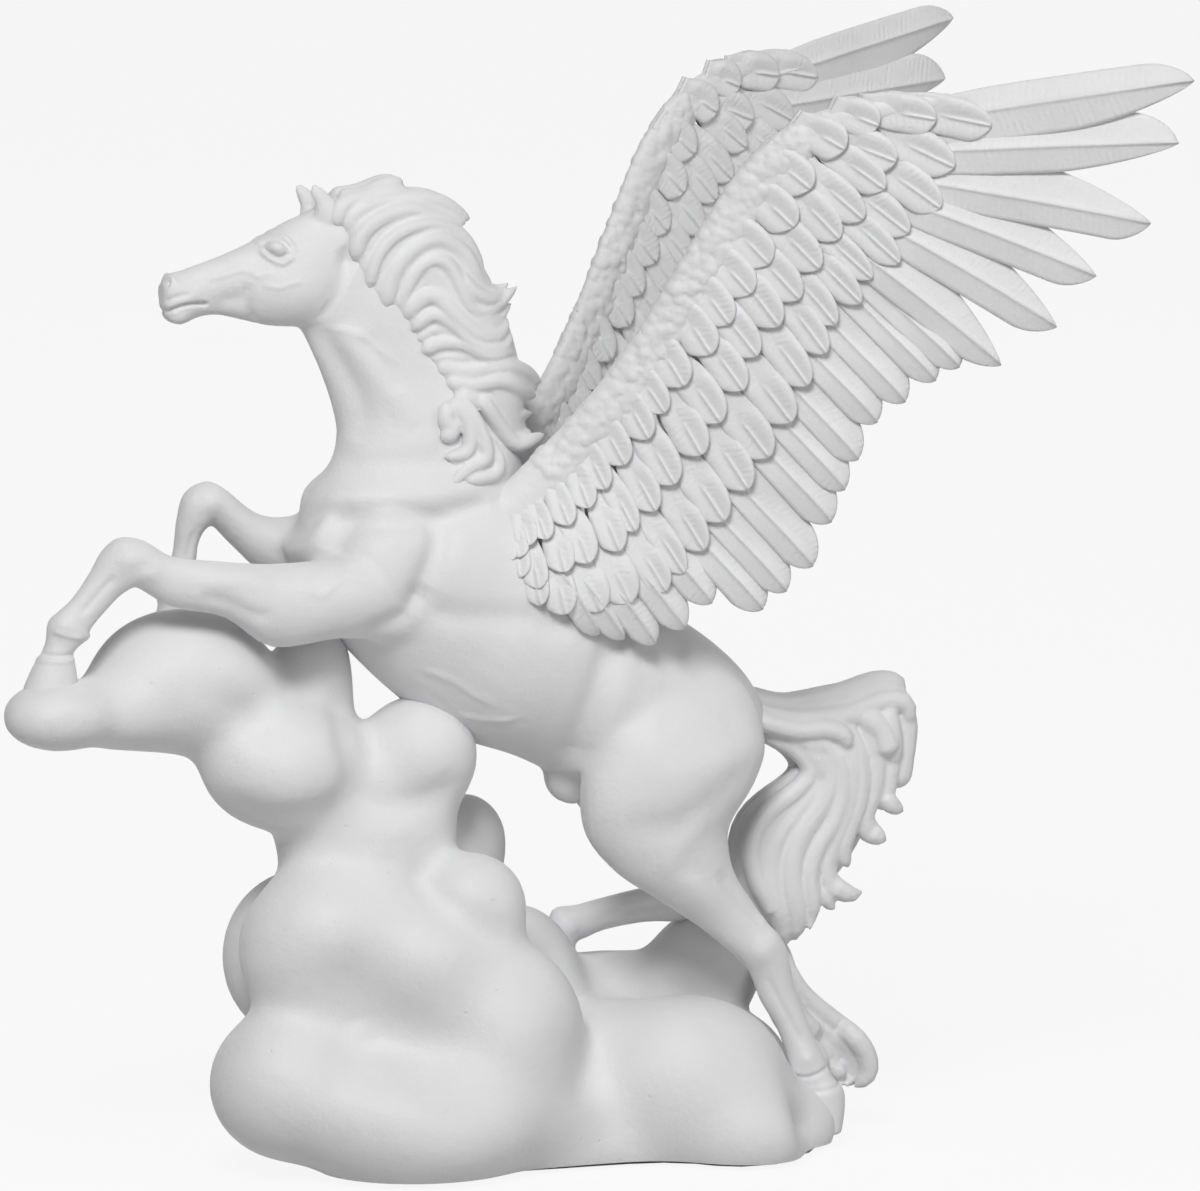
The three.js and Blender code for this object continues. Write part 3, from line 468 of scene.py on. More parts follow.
horse = {
    "cell": 0.6,
    "trunk": [
        [-45, 141, -53.5, 130, 0, 10], [-28.4, 147, -46.8, 118, 0, 15],
        [-10.9, 146.2, -40.2, 109, 0, 18.5], [3.4, 138, -30.4, 99.3, 0, 20],
        [13.7, 128, -17.7, 89.7, 0, 21], [22.6, 119, -3.8, 84.6, 0, 19.2],
        [30.8, 113.4, 7.1, 79.3, 0, 17.6], [39.7, 107.1, 19, 75, 0, 17], [46.6, 100.4, 31, 74, 0, 15],
        [51, 93.6, 42.1, 77.5, 0, 9],
    ],
    "neck": [
        [-33.6, 199, -48.3, 172.9, 0, 6.6], [-25, 190.8, -45.5, 167, 0, 7.6],
        [-16.9, 180.1, -42.9, 159.4, 0, 8.6], [-10.4, 168.3, -42, 152.9, 0, 10],
        [-4.7, 156.5, -44.2, 146.5, 0, 12.5], [-1, 144, -49.5, 139.6, 0, 15], [4, 128, -51, 128, 0, 16],
    ],
    "head": [
        [-79.9, 186.6, -80.1, 182.6, 0, 2.2], [-79, 188.5, -79, 179.4, 0, 3.5],
        [-75.8, 189.3, -75.9, 178.1, 0, 3.9], [-72.4, 190.4, -72, 179.5, 0, 3.7],
        [-67.2, 192.1, -67.7, 179.8, 0, 4.2], [-61.4, 194.4, -61.4, 178.3, 0, 5.2],
        [-57.3, 196.3, -56.7, 177.3, 0, 6.4], [-53.8, 198.4, -51.1, 176.9, 0, 7],
        [-50.3, 199.9, -46.3, 177.3, 0, 7], [-46.4, 201.4, -42.8, 179.6, 0, 6.4],
        [-42.1, 202.3, -40.6, 183.4, 0, 5.6],
    ],
    "poll": [
        [-48, 199.5, -49.5, 180.6, 0, 5.2], [-41, 202, -49.8, 176.3, 0, 5.8],
        [-33.6, 199, -48.3, 172.9, 0, 6.6],
    ],
    "leftFore": [
        [-25, 128, -24, 114, -9, 4.5], [-36, 132, -34, 111.6, -11.5, 7.6],
        [-47.7, 129.9, -46, 113.1, -13.5, 8], [-61.4, 129.4, -60.6, 112, -14.5, 6.6],
        [-72.1, 130.4, -70.7, 118.6, -14.5, 4.8], [-81.9, 131.8, -81.9, 121.2, -14, 4],
        [-87.6, 135.2, -89.1, 125.4, -13.4, 4.2], [-92.8, 136, -91, 125, -13, 4.2],
        [-96.4, 133.2, -93, 123.6, -12.5, 3.8], [-98.8, 129.2, -95.4, 121.2, -12.5, 3.2],
        [-102.5, 124, -98, 118.4, -12.5, 2.7], [-105.6, 121.1, -99.4, 116.1, -12.2, 3],
        [-107.9, 118.7, -98.9, 115.4, -12, 3.5], [-108.5, 114.3, -102.4, 112.6, -12, 2.9],
        [-111.2, 109.6, -102, 109, -12, 4], [-113.4, 104, -101.6, 104, -12, 4.9],
        [-112.6, 98, -102, 98, -12, 4.4],
    ],
    "rightFore": [
        [-28, 132, -28, 120, 8, 4.5], [-38, 137, -40.2, 120, 9, 7.4], [-50.4, 135.5, -54, 123.4, 11, 6],
        [-56.6, 136.8, -61.2, 129.5, 12, 4.6], [-63.2, 142, -65.1, 133.6, 12, 4.2],
        [-67.1, 143.5, -66.4, 134.1, 12, 4.2], [-71.6, 141.2, -67.9, 132.7, 12, 3.9],
        [-73.4, 135.3, -69, 130, 12, 3.1], [-74.2, 129, -69.3, 127.1, 12, 2.7],
        [-76, 124.2, -71, 122.9, 12, 3], [-77.9, 120.7, -71.7, 119.4, 12, 3.4],
        [-77.5, 117.7, -72.3, 116.7, 12, 3], [-78.8, 113.4, -71.5, 112.8, 12, 4],
        [-79.3, 108, -71.1, 108, 12, 4.4],
    ],
    "leftHind": [
        [22, 107, 39, 105, -6, 5], [12.6, 98.8, 45.3, 97.3, -9, 8], [9.3, 87.6, 47.7, 87.1, -12, 11.2],
        [7.3, 78.2, 45.1, 78.9, -13, 11.2], [8.5, 68.5, 39.8, 70.2, -13, 9.4],
        [14.8, 60.6, 39.4, 64.3, -13.5, 7.5], [22.7, 55.2, 41, 58.9, -13.5, 6.2],
        [32, 48.9, 44.5, 53.4, -13.5, 4.8], [38.1, 44, 48.5, 47.9, -13.5, 4.3],
        [43.9, 38.4, 52.1, 43.3, -13.5, 4.2], [46.6, 31.9, 54.1, 34.7, -13.5, 3.3],
        [50.4, 25.5, 56.6, 27.9, -13.5, 2.9], [52.4, 20, 59.1, 22.2, -13.5, 3],
        [53.5, 15.2, 61.1, 18.2, -13.5, 3.6], [55.5, 13, 62.5, 15, -13.5, 3.3],
        [56, 10.5, 65.1, 11.8, -13.5, 4.3], [57.6, 6.4, 65.2, 7.4, -13.5, 4.6],
        [60, 2.4, 64.4, 2.8, -13.5, 4],
    ],
    "rightHind": [
        [22, 107, 39, 105, 6, 5], [11.8, 97.4, 44, 97, 9, 8], [9.8, 87.6, 46.9, 89.1, 12, 11.2],
        [11.1, 77.7, 46.3, 81, 13, 11.2], [17.5, 67.7, 43.8, 72.8, 13, 9.4],
        [25.5, 60.8, 44.9, 66.7, 13.5, 7.5], [33.3, 56.5, 47.2, 61.4, 13.5, 6],
        [38.6, 53.4, 50.4, 56.2, 13.5, 4.8], [38, 52.2, 50, 48.4, 13.5, 4.4],
        [35.6, 52.8, 40.4, 45, 13.5, 3.6], [28.7, 52.4, 29.9, 45.1, 13.5, 3.1],
        [19.7, 50.7, 21.2, 44, 13.5, 2.9], [14.6, 49.6, 16.8, 42.5, 13.5, 3.1],
        [9.7, 49, 14.5, 41.6, 13.5, 3.5], [8.4, 45.2, 14.4, 40.2, 13.5, 3.2],
        [8.5, 40.8, 15.9, 37.4, 13.5, 3.9], [10.3, 35.8, 19, 33.8, 13.5, 4.5],
        [13, 30.5, 20.6, 29.7, 13.5, 4.2],
    ],
    # x, y, z and half sizes
    "balls": [
        [-33, -10.5, 126, 13, 9.5, 15.5], [-33, 10.5, 126, 13, 9.5, 15.5], [9, 0, 80, 6, 4, 6.5],
    ],
    # base and tip of each ear, then shares of its length and the half width there
    "ears": [[-43.6, -3.4, 197.8, -48.3, -3.3, 206.9], [-45.2, 3.2, 197.8, -49.6, 3.2, 206.3]],
    "earWidths": ((-0.1, 1.9), (0.2, 2.5), (0.45, 2.45), (0.7, 1.8), (0.9, 0.95), (1.0, 0.3)),
    "seamMargin": 4,  # how far beyond a limb its cut looks for faces
    # the limb and station where each casting is cut off, and a place inside it
    "seams": {
        "horse_head": ("neck", 0, (-60, 0, 190)),
        "left_foreleg": ("leftFore", 3, (-110, -12, 106)),
        "right_foreleg": ("rightFore", 3, (-76, 12, 112)),
        "left_hind_leg": ("leftHind", 5, (58, -13.5, 10)),
        "right_hind_leg": ("rightHind", 5, (16, 13.5, 34)),
    },
    "bodyInside": (0, -20, 105),
}


def roughHorse():
    bm = bmesh.new()
    addLimb(bm, horse["trunk"], 40, 5)
    addLimb(bm, horse["neck"], 36, 5)
    addLimb(bm, horse["head"], 32, 5)
    addLimb(bm, horse["poll"], 32, 4)
    for name in ("leftFore", "rightFore", "leftHind", "rightHind"):
        addLimb(bm, horse[name], 28, 4)
    for ball in horse["balls"]:
        addBall(bm, *ball)
    for baseX, baseY, baseZ, tipX, tipY, tipZ in horse["ears"]:
        base, tip = Vector((baseX, baseY, baseZ)), Vector((tipX, tipY, tipZ))
        rings = []
        for share, size in horse["earWidths"]:
            middle = base.lerp(tip, share)
            rings.append((middle, Vector((size, 0, 0.5 * size)), Vector((0, 0.62 * size, 0))))
        addTube(bm, rings, 16)
    return oneSkin(bm, horse["cell"])


# Strokes and swellings of the body. A swelling is x, z, half sizes, turn and height.
# A stroke is width, height, then x and z along it, and the share of it that fades if not the usual.

body = {
    # where the skin is evened out: x, y, z and radius
    "blends": [
        [-50, -9, 132, 9], [-50, 9, 134, 9], [-28, -14, 114, 9], [-28, 14, 114, 9], [-20, -15, 128, 9],
        [-20, 15, 128, 9], [6, -17, 96, 9], [6, 17, 96, 9], [10, -13, 80, 8], [10, 13, 80, 8],
        [45, 0, 80, 9], [20, -14, 108, 10], [20, 14, 108, 10], [28, -17, 92, 13], [28, 17, 92, 13],
        [12, -18, 88, 10], [12, 18, 88, 10], [-40, -13, 146, 10], [-40, 13, 146, 10], [-45, -4, 178, 6],
        [-45, 4, 178, 6], [9, 0, 79, 6], [30, 0, 72, 9],
    ],
    # shoulder, upper arm, chest, ribs, haunch, thigh and croup
    "swellings": [
        [-22, 128, 7, 12, 20, 1.6], [-40, 124, 9, 8, 30, 1.4], [-40, 141, 14, 4.5, 0, 1.1],
        [-17, 108, 14, 9, -35, 0.7], [19, 95, 11, 12, 0, 1.2], [13, 76, 7, 8, 20, 0.8],
        [38, 85, 8, 10, 20, 0.6],
    ],
    # hollows and edges of the muscles
    "strokes": [
        [2.6, -1.4, [[-50, 136.4], [-42.9, 137.1], [-34.4, 137.3], [-22.2, 138], [-13, 139.6]]],
        [2.4, 0.5, [[-50, 141], [-39.8, 141.6], [-25, 142], [-12, 143.4]]],
        [3, -0.7, [[-46.7, 148.2], [-37.3, 148.3], [-27.9, 148.8], [-20, 149.5]]],
        [3, -1.7, [[-23.4, 139], [-26.4, 131], [-29.6, 125], [-33, 119]]],
        [2.4, -1.2, [[-28, 124], [-31.5, 119.5], [-37.1, 116.5], [-44, 114]]],
        [3, -0.9, [[-30.5, 119.5], [-20.1, 117.3], [-4.8, 116], [3, 112]]],
        [3.6, -1.7, [[13, 112], [10.5, 105], [7.6, 96], [5.4, 88], [5, 82]]],
        [3.6, 0.5, [[15.5, 110], [14, 103.2], [12, 95], [11, 87]]],
        [3, -0.5, [[17, 108], [23.2, 107.6], [32, 106.5]]],
        [3.6, -0.4, [[42, 91.5], [31.3, 88.1], [20, 85.7]]],
        [3.6, -0.7, [[45, 86], [34, 77.5], [24.6, 71.8], [13, 72]]],
        [2.6, 0.4, [[33, 74], [28.6, 69.6], [24.8, 65], [22.6, 60]]],
    ],
    # windpipe and the muscles beside it
    "neckStrokes": [
        [2.2, -0.9, [[-47.8, 178.2], [-44.5, 172], [-40.5, 165], [-38.5, 159], [-40, 153]]],
        [3, 0.8, [[-43.7, 177], [-39, 171.7], [-33, 164], [-28, 156]]],
        [2, -0.5, [[-38.5, 175.5], [-34.7, 169.3], [-31, 163]]],
    ],
    # veins, as x and z along them
    "veins": [
        [[-46, 177], [-42.8, 176.4], [-39, 175.3], [-34.8, 172], [-31, 169.2]],
        [[-56.2, 125.3], [-51.4, 123.5], [-47.7, 126.4], [-44.7, 126.6], [-41.1, 124.9]],
        [[-50.4, 131.9], [-46.2, 130.6], [-45.3, 129.1], [-45.9, 126.8]],
        [[-29, 106], [-22.5, 103.7], [-18.3, 100.8], [-12, 97]],
        [[-20, 95.6], [-13.4, 94.3], [-7, 94.8]],
    ],
    "veinWidth": 0.8,
    "veinHeight": 0.3,
}


def carve(clay, swellings, strokes, sides=(-1, 1), depth=1.0):
    for side in sides:
        for swelling in swellings:
            clay.mound(*swelling, side)
        for width, height, path, *fade in strokes:
            clay.stroke(path, width, height, side, *fade)
    clay.height *= depth
    clay.settle()


def shapeBody(clay):
    # evens the skin out, most where limbs leave the trunk, then carves it
    joint = sum(clay.near(*blend) for blend in body["blends"])
    clay.relax(6, keep=0.5)
    clay.relax(36, np.clip(joint, 0, 1))
    carve(clay, body["swellings"], body["strokes"])
    carve(clay, [], body["neckStrokes"], (0,))
    veins = [[body["veinWidth"], body["veinHeight"], path] for path in body["veins"]]
    carve(clay, [], veins)


def seamOf(piece):
    # middle and axis of the cut, then half its height and half its width
    limb, index, _ = horse["seams"][piece]
    topX, topZ, bottomX, bottomZ, y, half = horse[limb][index]
    middle = Vector(((topX + bottomX) / 2, y, (topZ + bottomZ) / 2))
    axis = Vector((bottomZ - topZ, 0, topX - bottomX)).normalized()
    return middle, axis, math.hypot(topX - bottomX, topZ - bottomZ) / 2, half


def islands(bm):
    # a number for each face, the same for all faces that hang together
    bm.faces.index_update()
    island = np.full(len(bm.faces), -1)
    count = 0
    for face in bm.faces:
        if island[face.index] >= 0:
            continue
        island[face.index] = count
        waiting = [face]
        while waiting:
            for edge in waiting.pop().edges:
                for other in edge.link_faces:
                    if island[other.index] < 0:
                        island[other.index] = count
                        waiting.append(other)
        count += 1
    return island


def castings(mesh):
    # cuts the skin at each seam and returns one closed bmesh for each casting
    bm = bmeshFrom(mesh)
    margin = horse["seamMargin"]
    for piece in horse["seams"]:
        middle, axis, high, half = seamOf(piece)
        faces = [face for face in bm.faces
                 if (face.calc_center_median() - middle).length < high + 2 * margin
                 and abs(face.calc_center_median().y - middle.y) < half + margin]
        geometry = list({vert for face in faces for vert in face.verts})
        geometry += list({edge for face in faces for edge in face.edges}) + faces
        made = bmesh.ops.bisect_plane(bm, geom=geometry, dist=cutTolerance,
                                      plane_co=middle, plane_no=axis)
        loop = [part for part in made["geom_cut"] if isinstance(part, bmesh.types.BMEdge)]
        bmesh.ops.split_edges(bm, edges=loop)
    island = islands(bm)
    middles = np.array([face.calc_center_median() for face in bm.faces])
    wanted = {name: inside for name, (_, _, inside) in horse["seams"].items()}
    wanted["horse_body"] = horse["bodyInside"]
    parts = {}
    for name, inside in wanted.items():
        nearest = np.argmin(((middles - np.array(inside)) ** 2).sum(axis=1))
        part = bm.copy()
        part.faces.ensure_lookup_table()
        other = [part.faces[i] for i in np.nonzero(island != island[nearest])[0]]
        bmesh.ops.delete(part, geom=other, context="FACES")
        crease = part.edges.layers.float.new("crease_edge")
        rim = [edge for edge in part.edges if edge.is_boundary]
        for edge in rim:
            edge[crease] = 1
            edge.smooth = False
        bmesh.ops.holes_fill(part, edges=rim, sides=0)
        parts[name] = part
        print(name, len(part.faces), "faces cut out,", len(rim), "on the seam")
    bm.free()
    return parts


head = {
    # cheek, eye socket, hollow of the cheek, nostril and muzzle
    "swellings": [
        [-53, 183.5, 7.5, 6.5, 0, 1.4], [-56.4, 194.2, 2.9, 1.9, -15, 0.9],
        [-66, 183.2, 3.6, 2.2, 10, -0.8], [-78.2, 187, 1.6, 1.9, 70, 0.55],
        [-75.5, 184.4, 3.6, 1.6, 10, 0.5],
    ],
    # edge of the jaw and of the cheek muscle
    "strokes": [
        [1.8, -1.3, [[-42.6, 194], [-41.2, 189.6], [-41.8, 184.8], [-43.6, 181.2], [-47, 178]]],
        [1.2, -0.5, [[-62.4, 187], [-63.2, 184], [-62.2, 180.8], [-60.6, 178.5]]],
    ],
    # eyeball and chin
    "fineSwellings": [
        [-56.6, 193.9, 1.7, 1.3, 0, 1.2], [-77.2, 179.6, 2, 1.2, 0, 0.5],
    ],
    # eyelids, veins, mouth, lips and the nostril's rim
    "fineStrokes": [
        [0.55, 0.42, [[-60, 194.4], [-58.6, 196], [-56.5, 196.7], [-54, 195.4], [-52.4, 193]]],
        [0.55, 0.5, [[-59.8, 193.6], [-58.1, 191.8], [-55.6, 190.8], [-53, 192.4]]],
        [0.38, -0.55, [[-59.3, 194.1], [-58.2, 195.2], [-56.6, 195.7], [-54.8, 194.7], [-53.8, 193.5]]],
        [0.38, -0.5, [[-59, 193.7], [-57.8, 192.7], [-56, 192.1], [-54.2, 192.9]]],
        [0.6, 0.18, [[-60, 186.5], [-56.7, 185.9], [-54.4, 186.6], [-51.1, 187.2]]],
        [0.7, 0.22, [[-71.9, 187.9], [-67.9, 188.3], [-64.6, 189.3], [-61.7, 189], [-60.7, 188.3],
                     [-57.4, 188.9]]],
        [0.42, -0.75, [[-81.7, 180.4], [-80, 180.9], [-77.6, 181.9], [-75.8, 182.4], [-73.5, 182.6],
                       [-70.5, 182.4]], 0.08],
        [0.7, -0.35, [[-80.6, 183], [-79, 183.8], [-76.7, 184.5], [-74.1, 185]]],
        [0.75, -1.1, [[-80.2, 186.2], [-79.8, 187.4], [-79.2, 188.4]], 0.4],
        [0.45, 0.4, [[-81, 187.8], [-80.2, 188.9], [-78.6, 188.9], [-77.8, 187.4]]],
    ],
    "fineDepth": 1.35,
    "earScoop": 1.1,
}


def shapeHead(clay):
    clay.relax(4, keep=0.5)
    carve(clay, head["swellings"], head["strokes"])
    carve(clay, head["fineSwellings"], head["fineStrokes"], depth=head["fineDepth"])
    front = np.clip(-clay.normals[:, 0] * 1.4, 0, 1)
    for baseX, baseY, baseZ, tipX, _, tipZ in horse["ears"]:
        spot = clay.near(baseX * 0.5 + tipX * 0.5 - 1.2, baseY * 1.05, baseZ * 0.5 + tipZ * 0.5, 2.1)
        clay.height -= head["earScoop"] * spot * front
    clay.settle()


# Knees, hocks, tendons, fetlocks and the edges of the hooves

legs = {
    "left_foreleg": {
        "swellings": [
            [-91.3, 132.2, 3.2, 2.2, 20, 0.7], [-88, 128.6, 2.6, 1.8, 20, 0.5],
            [-105.3, 118.3, 1.6, 1.5, 0, 0.6],
        ],
        "strokes": [
            [1.6, -0.5, [[-77.3, 124.2], [-71.3, 122.1], [-65.3, 119.5], [-61, 119.6]]],
            [2.2, 0.5, [[-77.6, 126.8], [-65.6, 126.9], [-61, 125.6]]],
            [0.9, -0.5, [[-94.5, 128.6], [-98.3, 124.4], [-101.8, 120.3]]],
            [0.6, 0.35, [[-107.6, 117.4], [-104.7, 116.4], [-101, 115.6]]],
            [0.5, -0.4, [[-109.6, 112.5], [-106.3, 112.2], [-102.8, 112.3]], 0],
            [0.5, 0.3, [[-110.3, 111.3], [-106.3, 111], [-102.3, 111.1]], 0],
        ],
    },
    "right_foreleg": {
        "swellings": [
            [-66.8, 139.6, 2.6, 2.4, 20, 0.6],
        ],
        "strokes": [
            [0.8, -0.4, [[-70.5, 134], [-71.8, 129], [-73, 124.2]]],
            [0.6, 0.35, [[-78, 119.8], [-75, 119.4], [-71.6, 119.2]]],
            [0.5, -0.35, [[-78.4, 115], [-75, 114.8], [-71.6, 114.9]], 0],
        ],
    },
    "left_hind_leg": {
        "swellings": [
            [31, 56.6, 6, 3, -45, 0.7], [46, 43, 2.6, 3, 0, 0.9], [49, 46, 2, 2.4, 40, 0.5],
            [56, 19.3, 1.8, 1.7, 0, 0.6], [60.6, 12.6, 3, 2.4, -50, 0.6],
        ],
        "strokes": [
            [0.9, -0.45, [[46.5, 38], [49.7, 32.1], [53.2, 25.9], [55.5, 22]]],
            [1.4, -0.6, [[35, 61], [41, 54], [46.5, 49]]],
            [0.6, -0.45, [[52.9, 15.6], [56, 15.2], [60.5, 16.8]], 0],
            [0.5, -0.3, [[55.6, 12.4], [59.5, 12.2], [64.4, 13.4]], 0],
        ],
    },
    "right_hind_leg": {
        "swellings": [
            [40, 50, 3, 2.4, 0, 0.6], [12.6, 45.5, 2, 1.8, 0, 0.5],
        ],
        "strokes": [
            [0.9, -0.4, [[36, 49], [28, 48.6], [19, 47.3]]],
            [0.5, -0.35, [[8.8, 43.4], [12, 41.6], [15.6, 39.4]], 0],
        ],
    },
}


def shapeLeg(clay, name):
    clay.relax(3, keep=0.5)
    carve(clay, legs[name]["swellings"], legs[name]["strokes"], (0,))


def buildHorse():
    # makes the six castings and returns the whole skin, for the hair to lie on
    mesh = roughHorse()
    print("rough horse", len(mesh.polygons), "faces")
    clay = Clay(mesh)
    shapeBody(clay)
    skin = BVHTree.FromPolygons([tuple(place) for place in clay.points],
                                [tuple(face.vertices) for face in mesh.polygons])
    parts = castings(mesh)
    trunk = meshFrom(parts.pop("horse_body"), "horse_body")
    finishPiece(trunk, "horse_body_cast", horseMarble, "horse_body")
    for name, bm in parts.items():
        fine = withModifier(bm, "SUBSURF", {"levels": 1, "render_levels": 1})
        clay = Clay(fine)
        clay.hold(*seamOf(name)[:2], 3)
        if name == "horse_head":
            shapeHead(clay)
        else:
            shapeLeg(clay, name)
        finishPiece(fine, name + "_cast", horseMarble, name)
    return skin


horseSkin = buildHorse()

# Hair: guides in side view, with more locks laid between them

mane = {
    "cell": 0.42,
    "seed": 3,
    "onHorse": True,  # locks lie on the neck as well as on the core
    "taper": 0.72,  # where a lock starts to narrow
    "width": 1.85,  # half width and half depth of a lock
    "depth": 1.9,
    "thinner": 0.8,  # the locks between the guides
    "lift": 0.6,  # how far a lock sinks into what it lies on
    "sink": 0.7,  # how much deeper the locks between lie
    # the mass below the locks: x, y, z, half height and half depth
    "core": [
        [-43, 0, 199.5, 2.6, 4.2], [-35, 0, 198.6, 6, 6.4], [-27, 0, 193, 9.6, 8.2],
        [-20, 0, 184, 10.4, 9.2], [-14.6, 0, 173, 10, 10], [-10.8, 0, 163, 8.8, 10.2],
        [-7, 0, 153.6, 6.2, 8], [-0.6, 0, 147.2, 2.8, 4.4],
    ],
    # y at the root, y at the tip, then x and z along the lock
    "guides": [
        [-3, -1, [[-42.6, 203.6], [-37.6, 203.9], [-32.2, 205.8], [-27.9, 206.5]]],
        [-4.5, -1.5, [[-43.4, 197.6], [-42, 202], [-37.4, 203.4], [-31.6, 204.4], [-26.4, 203.8]]],
        [-5.5, -2, [[-40.9, 196.2], [-39.2, 200.5], [-34.4, 202.4], [-27.5, 203], [-20.9, 202.2],
                    [-13.5, 198]]],
        [-7, -3, [[-39.8, 190.7], [-38.5, 196.1], [-33.9, 199.5], [-27.4, 200.9], [-22, 198.9],
                  [-14.8, 197.4]]],
        [-7.5, -3, [[-37.1, 184.9], [-35.3, 191.7], [-30.6, 196.3], [-23.6, 197.8], [-16.2, 195],
                    [-11, 187.3]]],
        [-8, -3, [[-33.6, 180.6], [-31.9, 188], [-27.5, 192.9], [-22.1, 194.8], [-16.5, 191.3],
                  [-12.8, 185.3], [-8, 183.4]]],
        [-8, -3, [[-30.6, 179.7], [-28.6, 185.8], [-25.4, 189.9], [-21, 190.2], [-17.8, 185],
                  [-15, 179.5], [-9.3, 180.1], [-3.6, 183.9]]],
        [-5, -2, [[-18.4, 187.4], [-14.6, 183.4], [-10.4, 181.6], [-6, 182.6]]],
        [-8.5, -3, [[-29.6, 178.5], [-26.1, 182.5], [-22.7, 182.8], [-19.2, 179.1], [-14.8, 175],
                    [-9.6, 174], [-6.1, 177.2]]],
        [-9, -3, [[-28.3, 175.9], [-24, 179.1], [-19.2, 176.8], [-14.8, 172.5], [-8.5, 171.4],
                  [-5.6, 174.7]]],
        [-9.5, -3, [[-26.2, 171.3], [-22.7, 173], [-17.2, 172.8], [-11.8, 170.3], [-5.6, 170.9]]],
        [-9.5, -2, [[-23.2, 168.9], [-17.6, 167.1], [-9.3, 167.6], [-2.8, 165.9], [1.8, 163.2]]],
        [-10, -2, [[-21.1, 165.5], [-15.8, 164.3], [-9.3, 165.1], [-3.8, 162.3], [0.6, 160.4]]],
        [-11, -3, [[-19.4, 162.8], [-14.4, 160.8], [-10.9, 156], [-6.6, 152.1], [-0.9, 153.5]]],
        [-11.5, -13, [[-20.1, 161.8], [-17.1, 155.8], [-17.8, 150.8], [-22.8, 149.9]]],
        [-11.5, -13.5, [[-18.7, 162.2], [-14.8, 155.4], [-13.5, 149.5], [-17.4, 147.5], [-22, 144]]],
        [-11, -6, [[-14.3, 162.3], [-9.9, 155.9], [-5.1, 151.3], [1.4, 152.9]]],
        [-11.5, -12.6, [[-21.1, 160.8], [-22, 157.5], [-20.7, 155.4], [-23.3, 153.4]]],
        [-10, -13, [[-13.2, 153.1], [-10.6, 148.4], [-12.3, 145.6], [-18.9, 145]]],
    ],
    # pairs of guides with one more lock between them
    "between": [
        (0, 1), (1, 2), (2, 3), (3, 4), (4, 5), (5, 6), (6, 8), (8, 9), (9, 10), (10, 11), (11, 12),
        (12, 13), (14, 15),
    ],
}

